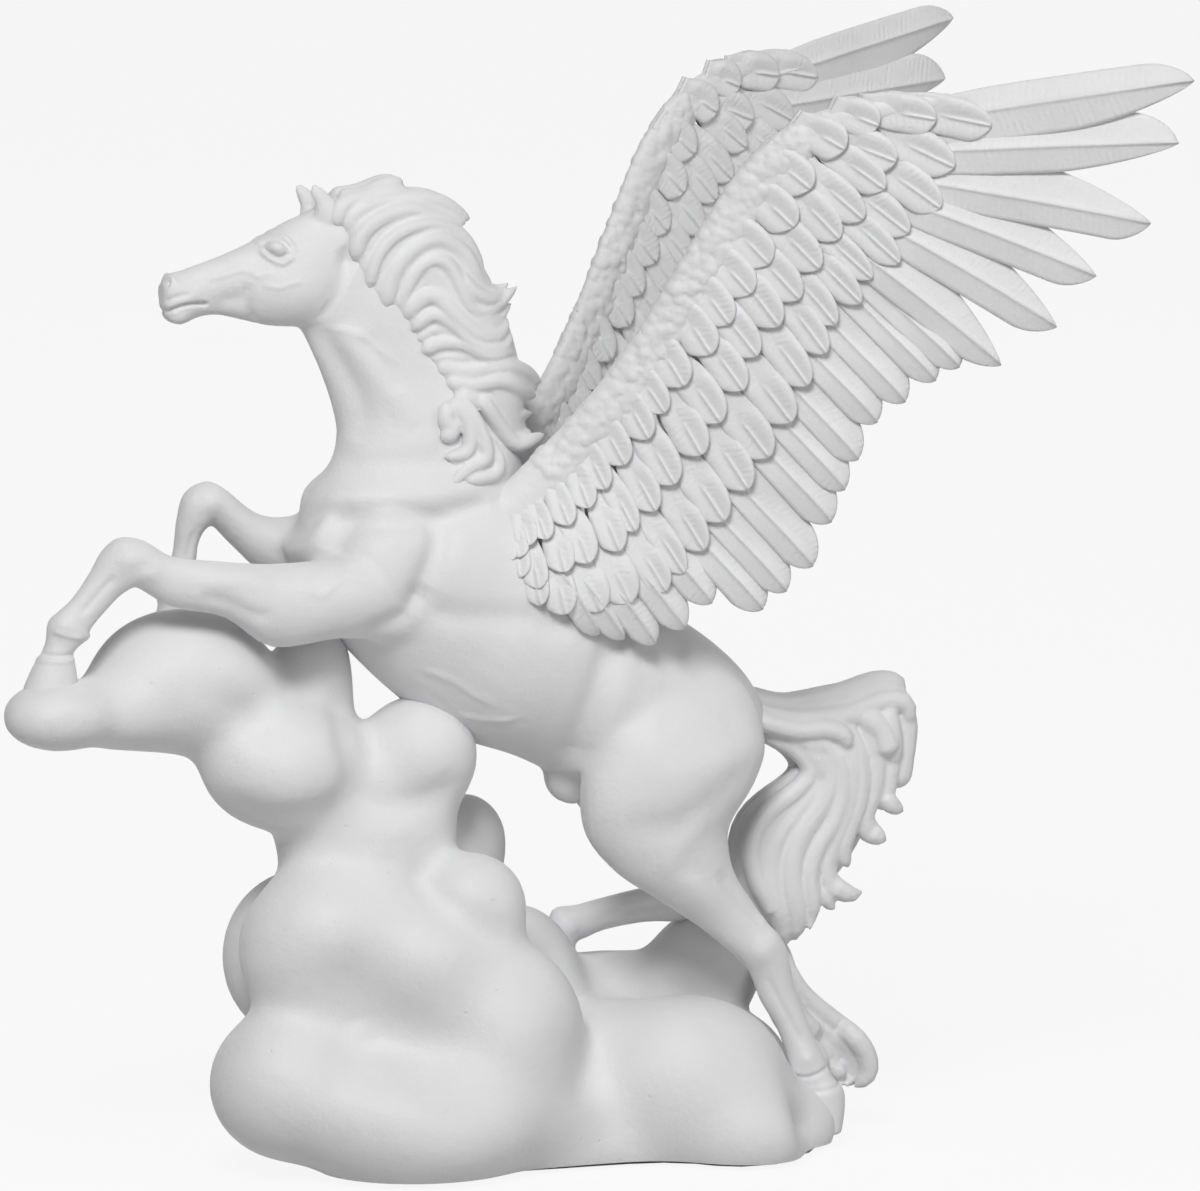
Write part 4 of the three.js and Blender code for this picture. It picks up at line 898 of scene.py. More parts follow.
tail = {
    "cell": 0.45,
    "seed": 5,
    "onHorse": False,
    "taper": 0.82,
    "width": 2.4,
    "depth": 2.3,
    "thinner": 0.85,
    "lift": 0.8,
    "sink": 0.6,
    "core": [
        [48, 0, 91.5, 3, 3.6], [58, 0, 88.8, 3.8, 4.6], [67.5, 1, 87, 6.4, 5], [72, 1, 78, 7.8, 5.2],
        [66.5, 1, 69, 9.4, 4.6], [61, 1, 60.5, 9.4, 4.3], [57.8, 1, 51.5, 5.8, 4],
        [55.8, 2, 44, 2.6, 2.8], [55.6, 3, 37.5, 2.4, 2.6], [58.6, 3, 31, 2.6, 2.6],
        [63.6, 3.5, 24.6, 3, 2.6], [69, 4, 18.8, 3.2, 2.6], [71.4, 4, 13.4, 2.6, 2.2],
        [71, 4, 11, 1, 1],
    ],
    "guides": [
        [0, 0, [[45, 95.6], [54.4, 92.6], [60, 92.6], [68.9, 94], [75.6, 96], [81.2, 96.2],
                [83.6, 94.4]]],
        [-2, -3, [[45, 93], [53, 90.4], [60.4, 89.4], [70.5, 90.3], [77.2, 92.6], [82.4, 92],
                  [83.4, 87]]],
        [-4, -7, [[45, 91.6], [52.7, 88.9], [58.3, 87.6], [64, 87.6], [67.8, 86], [68.6, 83]]],
        [0, 0, [[60.4, 80], [59.6, 76.2], [55.4, 73], [50.6, 69.6], [47.8, 65.4], [46.8, 60],
                [48, 54.6], [51, 49], [53.4, 44]]],
        [-3, -5, [[50, 87], [56.6, 84.4], [60.6, 80.4], [60.8, 77.4], [58, 74.6], [53, 71.4],
                  [49.2, 67.6], [47.6, 62.6], [48.6, 56.6], [51.4, 51], [53.6, 45.4]]],
        [-4, -5.8, [[52.2, 88], [58.9, 84.5], [63, 80.4], [62.6, 75.4], [58.6, 70.4], [54, 65.4],
                    [52, 59.4], [52.8, 52.6], [54.8, 46.6], [56, 41.4]]],
        [-4.8, -6, [[56, 88], [62.7, 83.3], [65.4, 77.8], [63.5, 71.8], [59.2, 66], [56.6, 60],
                    [56.6, 54], [57.6, 48.4], [57.6, 42.4]]],
        [-5.4, -6, [[58.3, 88], [66.1, 81.6], [67.7, 74.6], [65.7, 67.6], [61.9, 61.8], [60.2, 56],
                    [61, 50.6], [60.2, 45]]],
        [-5, -5, [[64, 87], [69.5, 79.7], [69.4, 72.2], [66.8, 65], [64.4, 59.2], [65, 54.6],
                  [69.4, 52], [72.2, 52.4]]],
        [-5, -5, [[68.1, 89], [71.7, 80.4], [71.5, 72.2], [69.4, 66.4], [67.8, 61.4], [69.6, 57.6]]],
        [-5, -4, [[73, 90], [75.4, 82], [75, 73.9], [73, 68.4], [74.4, 65], [78, 62.8]]],
        [-4, -3, [[78, 92], [79.4, 84], [79, 76.4], [78.4, 71.4], [82, 68.8]]],
        [-2, -2, [[81.2, 93.6], [83, 87], [82.2, 79.6], [81.4, 73.6]]],
        [-5, -6.5, [[73, 90], [76.6, 86.4], [78, 81.4]]],
        [-2, -2, [[55.6, 42], [57.2, 35.6], [60.8, 30], [66, 25.4], [71.2, 21.2], [74.2, 16.8],
                  [74.6, 12.4], [71.6, 9.8]]],
        [-2, -2, [[54.6, 40], [56.2, 33], [59.8, 27.4], [64.8, 23], [69.2, 18.8], [71.6, 14.8],
                  [71, 11.6], [68.6, 10.4]]],
        [-2, -2, [[54, 38], [55.6, 31], [58.8, 25.4], [63.2, 20.8], [66.8, 17], [68.6, 13.8],
                  [67.4, 11.8]]],
        [-2, -2, [[53.6, 36], [55, 29.2], [57.8, 23.6], [61.4, 19.2], [64, 16], [65, 13.6]]],
    ],
    "between": [(0, 1), (1, 2), (4, 5), (5, 6), (6, 7), (7, 8), (14, 15), (15, 16), (16, 17)],
}


def lockTemplate():
    # a closed tube with ten sides, from -1 to 1 along z
    bm = bmesh.new()
    bmesh.ops.create_cone(bm, cap_ends=True, segments=10, radius1=1, radius2=1, depth=2)
    sides = [edge for edge in bm.edges if abs(edge.verts[0].co.z - edge.verts[1].co.z) > 1]
    bmesh.ops.subdivide_edges(bm, edges=sides, cuts=22, use_grid_fill=False)
    return meshFrom(bm, "lock")


def copies(template, count):
    # one bmesh with the template in it several times, and the template's own points
    bm = bmesh.new()
    for _ in range(count):
        bm.from_mesh(template)
    points = np.empty(len(template.vertices) * 3)
    template.vertices.foreach_get("co", points)
    return bm, points.reshape(-1, 3)


def alongLock(unit, path, width, depth, twist, taper):
    # the template's points on a lock that swells out of its root and has a rounded tip
    share = (unit[:, 2] + 1) / 2
    places = np.linspace(0, 1, len(path))
    step = np.gradient(path, axis=0)
    step /= np.linalg.norm(step, axis=1)[:, None]
    across = np.cross(step, (0, 1, 0))
    across /= np.linalg.norm(across, axis=1)[:, None]
    out = np.cross(across, step)

    def at(values):
        return np.stack([np.interp(share, places, column) for column in values.T], axis=1)

    root = np.sqrt(1 - (1 - np.clip(share / 0.12, 0, 1)) ** 2 * 0.96)
    size = root * (1 - np.clip((share - taper) / (1 - taper), 0, 1) ** 2 * 0.98) ** 0.55
    lean = twist * np.sin(2 * math.pi * share)
    a = (unit[:, 0] * np.cos(lean) - unit[:, 1] * np.sin(lean)) * width * size
    b = (unit[:, 0] * np.sin(lean) + unit[:, 1] * np.cos(lean)) * depth * size
    return at(path) + at(across) * a[:, None] + at(out) * b[:, None]


def coreSides(core, path):
    # middle and half depth in y of the core at points in side view
    middle, depth = np.zeros(len(path)), np.zeros(len(path))
    for x, y, z, high, deep in core:
        gap = np.hypot(path[:, 0] - x, path[:, 1] - z) / high
        here = deep * np.sqrt(np.clip(1 - gap ** 2, 0, None))
        middle[here > depth] = y
        depth = np.maximum(depth, here)
    return middle, depth


def horseSide(path):
    # how far out the horse's near side reaches at points in side view
    reach = np.zeros(len(path))
    for i, (x, z) in enumerate(path):
        hit = horseSkin.ray_cast(Vector((x, -60, z)), Vector((0, 1, 0)))[0]
        if hit:
            reach[i] = max(-hit.y, 0)
    return reach


def coreRings(core):
    rings = []
    for i, (x, y, z, high, deep) in enumerate(core):
        step = stepAt(core, i)
        along = Vector((step[0], 0, step[2])).normalized()
        rings.append((Vector((x, y, z)), along.cross(Vector((0, 1, 0))) * high, Vector((0, deep, 0))))
    return rings


def laidLocks(hair, core):
    # each lock in side view, with the middle and distance in y of the pair that it makes
    count, window = 25, 7
    locks = []
    for root, tip, path in hair["guides"]:
        flat = evenly(path, count)
        middle, depth = coreSides(core, flat)
        if hair["onHorse"]:
            depth = np.maximum(depth, horseSide(flat))
        out = np.maximum(-np.linspace(root, tip, count), depth - hair["lift"])
        out = np.convolve(np.pad(out, window // 2, "edge"), np.ones(window) / window, "valid")
        out -= 0.9 * np.clip(1 - np.linspace(0, 1, count) / 0.2, 0, 1)  # the root dives in
        locks.append((flat, middle, out, 1.0))
    for first, second in hair["between"]:
        flat, middle, out = ((a + b) / 2 for a, b in zip(locks[first][:3], locks[second][:3]))
        locks.append((flat, middle, out - hair["sink"], hair["thinner"]))
    return locks


def hairMass(hair):
    chance = random.Random(hair["seed"])
    core = smoothed(hair["core"], 4)
    locks = laidLocks(hair, core)
    bm, unit = copies(lockTemplate(), 2 * len(locks))
    places = []
    for flat, middle, out, size in locks:
        for side in (-1, 1):
            y = middle + side * out + chance.uniform(-0.3, 0.3)
            lock = np.stack([flat[:, 0], y, flat[:, 1]], axis=1)
            width = hair["width"] * size * chance.uniform(0.88, 1.15)
            twist = chance.uniform(-0.35, 0.35)
            places.append(alongLock(unit, lock, width, hair["depth"] * size, twist, hair["taper"]))
    for vert, place in zip(bm.verts, np.concatenate(places)):
        vert.co = place
    addTube(bm, coreRings(core), 24)
    return oneSkin(bm, hair["cell"])


def buildHair():
    for name, hair in (("mane", mane), ("tail", tail)):
        clay = Clay(hairMass(hair))
        clay.relax(3, keep=0.5)
        finishPiece(clay.mesh, name + "_cast", hairMarble, name)


buildHair()

# Wings: each is drawn in side view and laid on a sheet that leans out to the rear

wing = {
    "rootDepth": 17,  # how far out the sheet lies at the root
    "rearFlare": 0.48,  # how much further for each mm to the rear and up
    "upFlare": 0.06,
    "swell": 12,  # how far it swells over the shoulder
    "swellRadius": 22,
    "seed": 21,
    "bandCell": 0.5,
    "bandLead": 1.2,  # its leading edge from the middle of each station, in half widths
    "bandReach": 1.55,  # its half width, in half widths of a station
    "bandLess": 0.12,  # how much narrower it gets over the outer part
    "bandFlat": 0.82,  # share of a station's half thickness
    # leading edge x, z and trailing edge of the lumpy band x, z, then half thickness
    "band": [
        [-12.5, 139.3, -12.2, 134.5, 2.4], [-5.6, 146, -2.4, 141.4, 2.5], [2.4, 154.4, 6.2, 150.3, 2.6],
        [9.9, 163.9, 14.2, 159.8, 2.6], [17.3, 175.6, 21.9, 172.3, 2.5],
        [24.6, 189.4, 29.3, 186.6, 2.4], [31.9, 203.2, 36.6, 200, 2.3], [36.9, 211, 41.5, 207.6, 2.2],
        [45, 219.1, 48.6, 215.2, 2.1], [55.9, 223.9, 58.4, 220.4, 2], [65.2, 225.3, 67, 222.4, 1.8],
        [74.5, 226.3, 75.6, 224.6, 1.4],
    ],
    "lumps": {"seed": 11, "size": (0.8, 1.6), "height": 0.6, "step": 0.22, "from": 0.12, "to": 0.72},
    "covertPitch": (4.6, 7.6),  # least and most
    "covertWidths": (0.57, 0.52),  # over and under the shaft, in pitches
    "covertBlade": (18, 18),  # rows and columns of faces
    "flightBlade": (34, 16),
    # an end is the length over which the feather narrows, its bluntness and its roundness
    "covertShape": {
        "root": 0.6, "bend": 0, "tilt": 0, "half": 0.3, "shaft": 0.7, "shaftFrom": 0.5, "both": False,
    },
    "covertEnds": ((0.36, 2.1, 0.6), (0.17, 1.8, 0.65)),  # lengths in feather lengths
    "flightShape": {
        "root": 0.6, "bend": 0, "tilt": 0.3, "half": 0.25, "shaft": 0.45, "shaftFrom": 0.05,
        "low": -0.3, "high": -0.3, "both": True, "side": 1,
        "overEnd": (8, 2, 0.7), "underEnd": (5, 2, 0.65),
    },
    "longShape": {"bend": -0.04, "overEnd": (22, 1.4, 0.85), "underEnd": (7, 1.8, 0.8)},
    "outerShape": {"overEnd": (9, 2, 0.7), "underEnd": (24, 1.5, 0.8)},
    "longFrom": 48,  # flights longer than this have the long shape
    "outerCount": 2,
    # height of the roots and tips off the sheet; angle and length at shares of the row; tips x, z
    "coverts": [
        {
            "low": 0.2, "high": 1.6, "start": 0.36,
            "lie": [
                [0, -84, 13], [0.07, -80, 13], [0.2, -60, 17], [0.55, -56, 20], [0.8, -46, 21],
                [0.93, -32, 21], [1, -10, 20],
            ],
            "tips": [
                [-4.6, 119.1], [0.4, 117.1], [7.8, 117.5], [14.3, 119], [21.8, 121.3], [25.5, 125.1],
                [29.4, 129.9], [33.2, 136.1], [37.6, 142.9], [41.5, 149.7], [45.5, 157.2], [48.5, 165],
                [51.8, 171.8], [53.5, 177.9], [58.1, 182.4], [60.1, 187.6], [65.1, 190.9],
                [66.8, 197.2], [72.7, 202.5], [75.1, 211.1], [81.8, 219.9],
            ],
        },
        {
            "low": 0.7, "high": 2.1, "start": 0.28,
            "lie": [
                [0, -90, 10], [0.1, -84, 11], [0.25, -66, 15], [0.6, -57, 18], [0.85, -46, 18],
                [1, -12, 14],
            ],
            "tips": [
                [-8.5, 124.9], [-5, 122.7], [0.3, 126], [5.4, 127.7], [12.1, 130], [15.6, 134],
                [19.7, 138.2], [23.4, 143.8], [28.5, 150], [32, 157], [36.2, 163.8], [38.7, 171],
                [42.6, 177.4], [46.4, 183.1], [50, 189.5], [53.7, 195.8], [58.1, 200], [61.9, 206.4],
                [64, 212.2], [71.3, 221.1],
            ],
        },
        {
            "low": 1.1, "high": 2.4, "start": 0.1,
            "lie": [
                [0, -96, 7], [0.15, -84, 9], [0.35, -68, 13], [0.6, -58, 14], [0.85, -46, 13],
                [1, -24, 9],
            ],
            "tips": [
                [-11.1, 127.9], [-8.6, 129], [-6.4, 131.5], [-2.8, 132.7], [2, 135.5], [6.4, 138.9],
                [10, 142.8], [13.8, 147.8], [18.3, 153.3], [21.4, 158.8], [24.9, 164.5], [29.9, 171.3],
                [33.2, 177.7], [37.2, 184.1], [40.5, 190.4], [45, 198.2], [48, 206.2], [54.2, 214.6],
                [60.5, 219.6],
            ],
        },
    ],
    # tip x, tip z, angle, length, then width over and under the shaft
    "flights": [
        [8.6, 112.3, -58, 20, 3.6, 3.2], [14.1, 111.2, -54, 22, 3.8, 3.2],
        [20.8, 110, -53, 24, 4.2, 3.4], [26.6, 113.2, -52, 24, 4.6, 3.4],
        [31.8, 118.6, -51, 38, 5, 3.6], [41.6, 117.4, -50, 44, 5.2, 3.8], [46, 121.3, -50, 46, 5, 3.4],
        [50.9, 126.7, -50, 46, 5.4, 3.6], [54.2, 136.1, -50, 46, 5.6, 3.8],
        [56.6, 143, -50, 46, 5.2, 3.4], [59, 149.4, -50, 46, 5.4, 3.4],
        [62.4, 157.3, -49, 46, 5.4, 3.6], [67.6, 161.7, -49, 46, 5, 3.4],
        [73.2, 166.3, -48, 46, 5, 3.4], [77.6, 169.2, -46, 46, 5.4, 3.4],
        [85.4, 169.8, -42, 50, 6.6, 4], [95.6, 178, -34, 54, 7, 4.6], [102.7, 188.8, -24, 56, 7.4, 4.8],
        [112.6, 200, -12, 62, 7.4, 5], [117.4, 216.8, 1.5, 66, 6.4, 5.6],
        [119.9, 229.8, 8.5, 70, 4.5, 7],
    ],
}


def onSheet(x, z, out):
    swell = wing["swell"] * np.exp(-((x + 6) ** 2 + (z - 119) ** 2) / wing["swellRadius"] ** 2)
    depth = wing["rootDepth"] + wing["rearFlare"] * (x - 10) + wing["upFlare"] * (z - 164) + swell
    return np.stack([x, -depth - out, z], axis=-1)


def blade(rows, columns, both):
    # a closed flat blade from -1 to 1 across, along and through, finely divided on both sides
    # or only on its upper one
    bm = bmesh.new()
    bmesh.ops.create_grid(bm, x_segments=columns, y_segments=rows, size=1)
    bmesh.ops.translate(bm, verts=bm.verts, vec=(0, 0, 1))
    rim = [edge for edge in bm.edges if edge.is_boundary]
    if both:
        made = bmesh.ops.duplicate(bm, geom=bm.verts[:] + bm.edges[:] + bm.faces[:])
        copy = [part for part in made["geom"] if isinstance(part, bmesh.types.BMVert)]
        bmesh.ops.translate(bm, verts=copy, vec=(0, 0, -2))
        bmesh.ops.bridge_loops(bm, edges=[edge for edge in bm.edges if edge.is_boundary])
    else:
        made = bmesh.ops.extrude_edge_only(bm, edges=rim)
        copy = [part for part in made["geom"] if isinstance(part, bmesh.types.BMVert)]
        bmesh.ops.translate(bm, verts=copy, vec=(0, 0, -2))
        bmesh.ops.holes_fill(bm, edges=[edge for edge in bm.edges if edge.is_boundary], sides=0)
    bmesh.ops.recalc_face_normals(bm, faces=bm.faces)
    return meshFrom(bm, "blade")


def ramp(value, start, span):
    # a soft step from 0 to 1
    share = np.clip((value - start) / span, 0, 1)
    return share * share * (3 - 2 * share)


def lobe(share):
    # a swelling that rises slowly from the shaft and falls steeply at the edge
    return np.clip(share, 0, 1) ** 0.9 * np.clip((1 - share) * 2.2, 0, 1) ** 0.5


def covertHeight(over, under, v, start):
    # the half over the shaft swells and laps on the next feather, the half under it lies low
    swell = ramp(v, start, 0.24) * (1 - 0.5 * np.clip((v - 0.72) / 0.28, 0, 1) ** 2)
    lean = (0.2 * over - 0.5 * under ** 0.6) * ramp(v, start, 0.3)
    return swell * (1.6 * lobe(over) + 1.05 * lobe(under)) + lean


def flightHeight(over, under, v, start):
    # a roof along the shaft, the half under it lapping on the next feather
    return (2.0 - 1.9 * over ** 0.8 - 1.3 * under) * ramp(v, start, 0.3)


def alongFeather(unit, feather, shape):
    # the template blade's points on one feather on the sheet, then their place across and along it
    # the points are closer together at the shaft and at the tip
    tipX, tipZ, angle, length, overWidth, underWidth = feather
    u = np.sign(unit[:, 0]) * np.abs(unit[:, 0]) ** 1.4
    v, face = 1 - ((1 - unit[:, 1]) / 2) ** 1.4, unit[:, 2]
    over, under = np.clip(u, 0, 1), np.clip(-u, 0, 1)
    breadth = shape["root"] + (1 - shape["root"]) * ramp(v, 0, 0.5)
    ends = []
    for taper, bluntness, roundness in (shape["overEnd"], shape["underEnd"]):
        t = np.clip(1 + (v - 1) * length / taper, 0, 1)
        ends.append((1 - t ** bluntness) ** roundness * 0.98 + 0.02)
    across = (over * overWidth * ends[0] - under * underWidth * ends[1]) * breadth
    along = v * length
    bend = shape["bend"] * (v - 1) ** 2 * length
    close = np.where(u > 0, ends[0], ends[1]) ** 0.5
    height = shape["profile"](over, under, v, shape["start"]) * close
    shaft = shape["shaft"] * np.exp(-(across / 0.28) ** 2) * ramp(v, shape["shaftFrom"], 0.15)
    height += shaft * np.clip((1 - v) * length / 0.8, 0, 1)
    middle = shape["low"] + (shape["high"] - shape["low"]) * v ** 1.5 - shape["tilt"] * u
    out = middle + face * shape["half"] + face * height * (1 if shape["both"] else (face > 0))
    out = out * shape["side"]
    cosine, sine = math.cos(math.radians(angle)), math.sin(math.radians(angle))
    x = tipX - cosine * (length - along) - sine * (across + bend)
    z = tipZ - sine * (length - along) + cosine * (across + bend)
    return np.hstack([onSheet(x, z, out), across[:, None], along[:, None]])


def addFeathers(bm, template, feathers):
    made, unit = copies(template, len(feathers))
    across = made.verts.layers.float.new("across")
    along = made.verts.layers.float.new("along")
    rows = np.concatenate([alongFeather(unit, feather, shape) for feather, shape in feathers])
    for vert, row in zip(made.verts, rows):
        vert.co = row[:3]
        vert[across], vert[along] = row[3:]
    bm.from_mesh(meshFrom(made, "feathers"))


def covertsOf(row, chance):
    # angle and length from the row's lie, widths from how far apart the tips are
    tips = np.array(row["tips"], float)
    last = len(tips) - 1
    lie = np.array(row["lie"], float).T
    least, most = wing["covertPitch"]
    over, under = wing["covertWidths"]
    feathers = []
    for i, (x, z) in enumerate(tips):
        angle, length = (np.interp(i / last, lie[0], column) for column in lie[1:])
        step = stepAt(tips, i) / (min(i + 1, last) - max(i - 1, 0))
        turn = math.radians(angle)
        pitch = min(max(step @ (-math.sin(turn), math.cos(turn)), least), most)
        pitch *= chance.uniform(0.97, 1.05)
        feathers.append([x, z, angle + chance.uniform(-3, 3), length, over * pitch, under * pitch])
    return feathers


def leadingBand():
    # the rounded band behind the leading edge, with small irregular lumps on it
    bm = bmesh.new()
    rings = []
    stations = smoothed(wing["band"], 4)
    for i, (leadX, leadZ, trailX, trailZ, half) in enumerate(stations):
        lead, trail = onSheet(leadX, leadZ, 0), onSheet(trailX, trailZ, 0)
        middle = Vector((lead + trail) / 2)
        chord = Vector(lead - trail) / 2
        step = stepAt(stations, i)
        along = Vector((step[0], -wing["rearFlare"] * step[0], step[1])).normalized()
        out = along.cross(chord).normalized()
        reach = wing["bandReach"] - wing["bandLess"] * ramp(i / len(stations), 0.55, 0.25)
        middle += chord * (wing["bandLead"] - reach)
        rings.append((middle, chord * reach, out * half * wing["bandFlat"]))
    addTube(bm, rings, 24)
    clay = Clay(oneSkin(bm, wing["bandCell"]))
    lumps = wing["lumps"]
    chance = random.Random(lumps["seed"])
    flat = clay.points[:, [0, 2]]
    rows = smoothed(wing["band"], 8)
    for i, (leadX, leadZ, trailX, trailZ, _) in enumerate(rows):
        if not lumps["from"] < i / len(rows) < lumps["to"]:
            continue
        for share in np.arange(0.15, 1.6, lumps["step"]):
            x = leadX + (trailX - leadX) * share + chance.uniform(-0.8, 0.8)
            z = leadZ + (trailZ - leadZ) * share + chance.uniform(-0.8, 0.8)
            size = chance.uniform(*lumps["size"])
            gap = np.hypot((flat[:, 0] - x) * chance.uniform(0.8, 1.2), flat[:, 1] - z) / size
            rise = lumps["height"] * size * np.sqrt(np.clip(1 - gap ** 2, 0, 1))
            clay.height = np.maximum(clay.height, rise * chance.uniform(0.4, 1))
    clay.height *= np.abs(clay.normals[:, 1]) ** 0.5
    clay.settle()
    clay.relax(1, 0.5)
    return clay.mesh


def covertFeathers():
    # every covert with its shape, on both faces of the wing
    chance = random.Random(wing["seed"])
    feathers = []
    for row in wing["coverts"]:
        for feather in covertsOf(row, chance):
            over, under = ((share * feather[3], *rest) for share, *rest in wing["covertEnds"])
            shape = wing["covertShape"] | {
                "profile": covertHeight, "start": row["start"], "overEnd": over, "underEnd": under,
                "low": row["low"], "high": row["high"] + chance.uniform(-0.15, 0.2),
            }
            feathers += [(feather, shape | {"side": side}) for side in (1, -1)]
    return feathers


def flightFeathers():
    feathers = []
    for i, feather in enumerate(wing["flights"]):
        long = feather[3] > wing["longFrom"]
        shape = wing["flightShape"] | {"profile": flightHeight, "start": 1 - 19 / feather[3]}
        if long:
            shape |= wing["longShape"] | {"start": 0.2}
        if i >= len(wing["flights"]) - wing["outerCount"]:
            shape |= wing["outerShape"]
        feathers.append((feather, shape))
    return feathers


def buildWings():
    bm = bmesh.new()
    bm.verts.layers.float.new("across")
    bm.verts.layers.float.new("along")
    bm.from_mesh(leadingBand())
    addFeathers(bm, blade(*wing["covertBlade"], False), covertFeathers())
    addFeathers(bm, blade(*wing["flightBlade"], True), flightFeathers())
    finishPiece(meshFrom(bm.copy(), "left_wing"), "left_wing_cast", featherMarble, "left_wing")
    bmesh.ops.scale(bm, vec=(1, -1, 1), verts=bm.verts)
    bmesh.ops.reverse_faces(bm, faces=bm.faces)
    finishPiece(meshFrom(bm, "right_wing"), "right_wing_cast", featherMarble, "right_wing")


buildWings()

# The cloud

cloud = {
    "cell": 1.1,
    "floor": 1.2,  # the underside, on the felt
    "blend": 2.9,  # how softly the puffs run into each other
    "rounds": 3,
    "pulls": 4,  # steps onto the soft surface in each round
    "longestPull": 1.5,
    # x, y, z and half sizes
    "puffs": [
        [-106.6, -13, 99.5, 11.2, 9.6, 7.2], [-76, -1, 104, 19.2, 16.4, 14.8],
        [-90.9, -6, 98.6, 11, 10, 7], [-46.5, 3, 102, 8, 9, 15], [-56.4, -7, 86, 16.8, 14.4, 13.6],
        [-25, -3, 86.4, 11.8, 13, 12.2], [-36.6, -1, 70.4, 18.6, 14.5, 15],
        [-9.8, 15, 64.9, 8.4, 9, 9.4], [-19, 11, 56, 14, 12, 13], [-46.4, 14, 41.9, 16.6, 13, 18],
        [-44, -9, 47.4, 22, 17, 18.4], [-16.6, -15, 55.7, 10.4, 10, 10.6],
        [-27.4, -14.5, 39.2, 17, 15, 16.5], [-57.2, -13, 19.6, 16.2, 17, 15.6],
        [-30, -19, 12.6, 26.5, 23, 17], [-10, -18.5, 27, 16, 14.5, 20], [-3.1, -13, 11.5, 16, 15, 12],
        [1.2, 12, 33.3, 13, 15, 17], [-17.4, 8, 18.9, 24, 18, 20], [31, -15, 15.5, 20, 18.5, 18],
        [46.6, 1, 10.1, 12, 12, 16], [18.3, -5, 15.9, 20, 15.6, 15], [43.8, 14, 35, 12, 11, 12],
        [22.5, 18, 26.9, 16, 12, 11.5], [40, -21, 6, 15, 17.5, 12], [52, -13, 4.5, 11, 12, 9],
        [7.9, -3, 2.7, 47, 22, 9.5],
    ],
    # soft dents and swellings on the near side: place, half sizes, turn and height
    "hollows": [
        [-47, 43, 9, 8, -40, -2.4], [-38, 32, 12, 8, -45, -3], [-26, 20, 12, 8, -30, -2.4],
        [-29, 48, 7, 7, 0, 2.2], [-52, 54, 9, 9, 0, 1.2], [-54, 18, 9, 8, 0, 1.2],
        [-14, 30, 8, 9, 0, 1.6], [-65, 97, 3.4, 10, 55, -1.6], [3, 22, 5, 10, 20, -2],
        [54, 9, 5, 9, 20, -6],
    ],
    # creases between the puffs: width, height, then x and z along them
    "creases": [
        [3.6, -1.7, [[-43.2, 103], [-44.5, 92.3], [-43.2, 85.5], [-43.7, 77]]],
        [3.4, -1.5, [[-73.8, 81.2], [-63.5, 76.1], [-53.2, 76.8], [-43.7, 79.7]]],
        [3.4, -1.5, [[-43.7, 79.7], [-34.1, 77.5], [-25.5, 78.8], [-19.8, 83.6]]],
        [3, -1.3, [[-30, 65], [-28, 60], [-22, 54.2], [-12.4, 49.9]]],
        [4, -1.4, [[3.3, 48], [6.4, 35.8], [6.8, 23.1], [5, 14]]],
    ],
}


def cloudField(points):
    # distance to the cloud's soft surface, less than zero inside, and its slope
    total, slope = np.zeros(len(points)), np.zeros((len(points), 3))
    for x, y, z, *half in cloud["puffs"]:
        offset = points - (x, y, z)
        half = np.array(half)
        near = np.linalg.norm(offset / half, axis=1)
        steep = np.linalg.norm(offset / half ** 2, axis=1) + 1e-9
        share = np.exp(-near * (near - 1) / steep / cloud["blend"])
        total += share
        slope += share[:, None] * offset / half ** 2 / steep[:, None]
    return -cloud["blend"] * np.log(total), slope / total[:, None]


def buildCloud():
    bm = bmesh.new()
    for puff in cloud["puffs"]:
        addBall(bm, *puff)
    clay = Clay(oneSkin(bm, cloud["cell"]))
    for _ in range(cloud["rounds"]):
        for _ in range(cloud["pulls"]):
            field, slope = cloudField(clay.points)
            short = np.clip(field, -cloud["longestPull"], cloud["longestPull"])
            pull = short / np.clip((slope ** 2).sum(axis=1), 0.3, None)
            clay.points -= slope * pull[:, None]
        clay.relax(4)
    for hollow in cloud["hollows"]:
        carve(clay, [hollow], [], (-1,))
    carve(clay, [], cloud["creases"], (-1,))
    clay = Clay(oneSkin(bmeshFrom(clay.mesh), cloud["cell"]))
    clay.relax(4)
    flat = bmeshFrom(clay.mesh)
    geometry = flat.verts[:] + flat.edges[:] + flat.faces[:]
    bmesh.ops.bisect_plane(flat, geom=geometry, dist=cutTolerance, plane_co=(0, 0, cloud["floor"]),
                           plane_no=(0, 0, 1), clear_inner=True)
    rim = [edge for edge in flat.edges if edge.is_boundary]
    for edge in rim:
        edge.smooth = False
    bmesh.ops.holes_fill(flat, edges=rim, sides=0)
    finishPiece(meshFrom(flat, "cloud"), "cloud_cast", cloudMarble, "cloud_base")


buildCloud()

# The nodes that are kept as they are


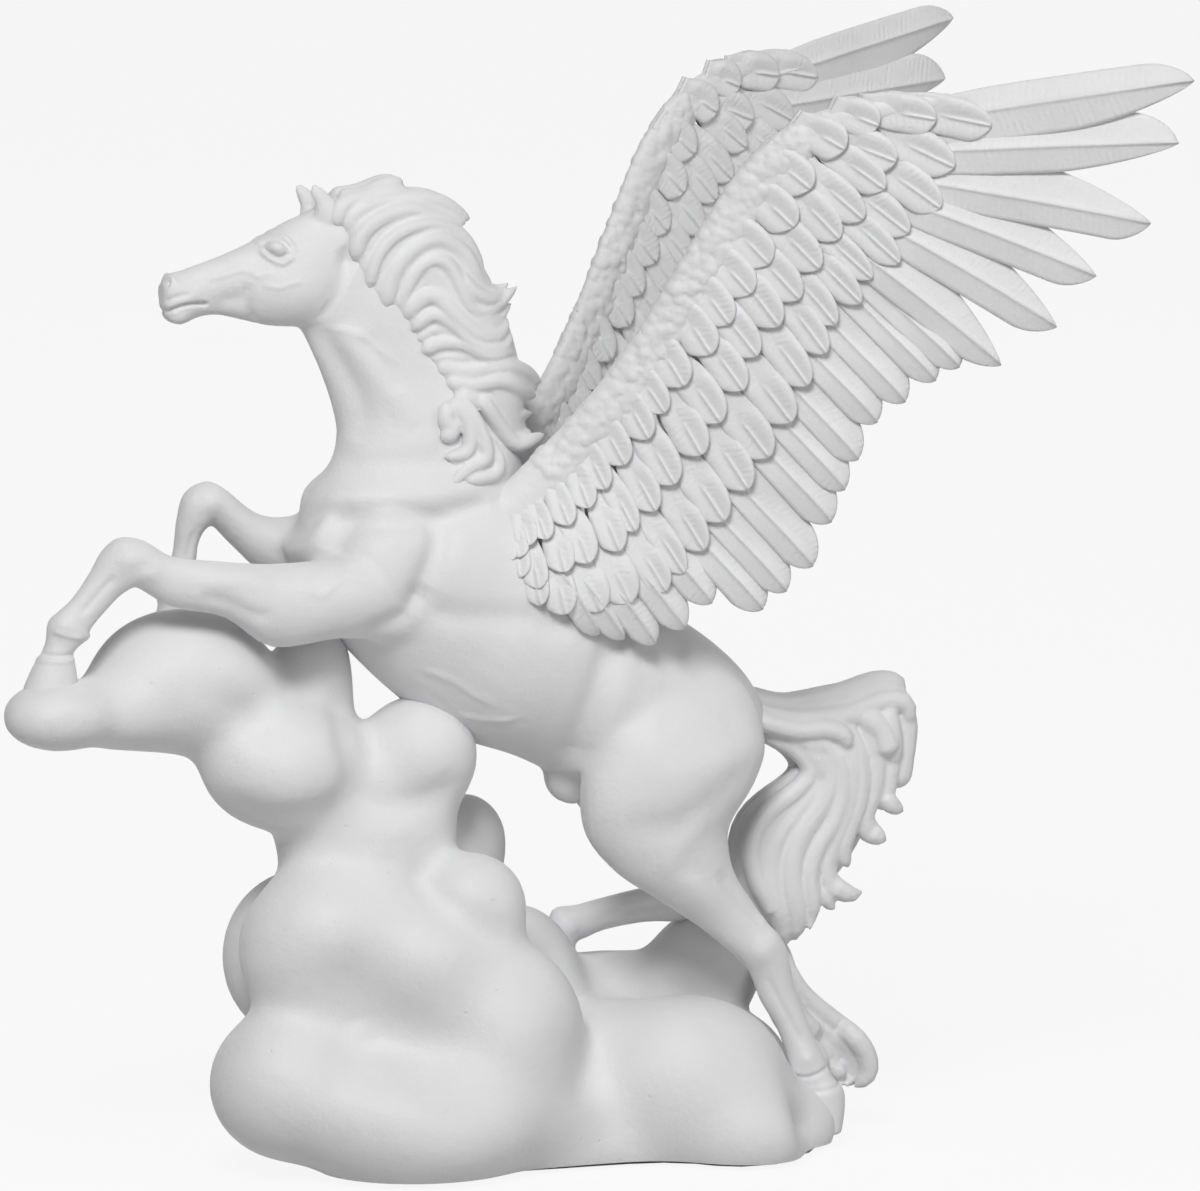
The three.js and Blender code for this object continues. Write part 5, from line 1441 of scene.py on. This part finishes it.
def paint(node, material):
    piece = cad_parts[node]
    piece.data.materials.clear()
    piece.data.materials.append(material)


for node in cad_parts:
    if node.endswith("_pin"):
        paint(node, steel)
paint("base_felt", felt)

# Floor and backdrop, which show white to the camera and light the object less

studio = {
    "floorRadius": 6,  # metres
    "floorColor": (0.6, 0.6, 0.6, 1),
    "floorRoughness": 0.9,
    "floorWhite": 0.9,  # share of white that the camera sees on the floor
    "skyLight": 0.14,
}


def rayKind(tree, kind):
    # 1 for rays of that kind
    return addNode(tree, "ShaderNodeLightPath", {}, {}, kind)


def addFloor():
    bm = bmesh.new()
    bmesh.ops.create_circle(bm, cap_ends=True, segments=96, radius=studio["floorRadius"])
    mesh = meshFrom(bm, "floor")
    floor = bpy.data.objects.new("floor", mesh)
    scene.collection.objects.link(floor)
    material, tree, shader = newMaterial("white floor")
    shader.inputs["Base Color"].default_value = studio["floorColor"]
    shader.inputs["Roughness"].default_value = studio["floorRoughness"]
    seen = (rayKind(tree, "Is Camera Ray") + rayKind(tree, "Is Glossy Ray")) * studio["floorWhite"]
    glow = addNode(tree, "ShaderNodeEmission", {}, {"Color": (1, 1, 1, 1), "Strength": 1.0})
    mixed = addNode(tree, "ShaderNodeMixShader", {}, {0: seen, 1: Wire(tree, shader.outputs[0]), 2: glow})
    output = next(n for n in tree.nodes if n.type == "OUTPUT_MATERIAL")
    tree.links.new(mixed.socket, output.inputs["Surface"])
    mesh.materials.append(material)


def addSky():
    world = bpy.data.worlds.new("studio")
    scene.world = world
    world.use_nodes = True
    tree = world.node_tree
    background = next(n for n in tree.nodes if n.type == "BACKGROUND")
    seen = rayKind(tree, "Is Camera Ray") + rayKind(tree, "Is Glossy Ray")
    seen = seen + rayKind(tree, "Is Transmission Ray")
    strength = seen.math("MINIMUM", 1.0) * (1 - studio["skyLight"]) + studio["skyLight"]
    tree.links.new(strength.socket, background.inputs["Strength"])
    background.inputs["Color"].default_value = (1, 1, 1, 1)


addFloor()
addSky()
scene.view_settings.view_transform = "Standard"
print("floor and backdrop are in place")
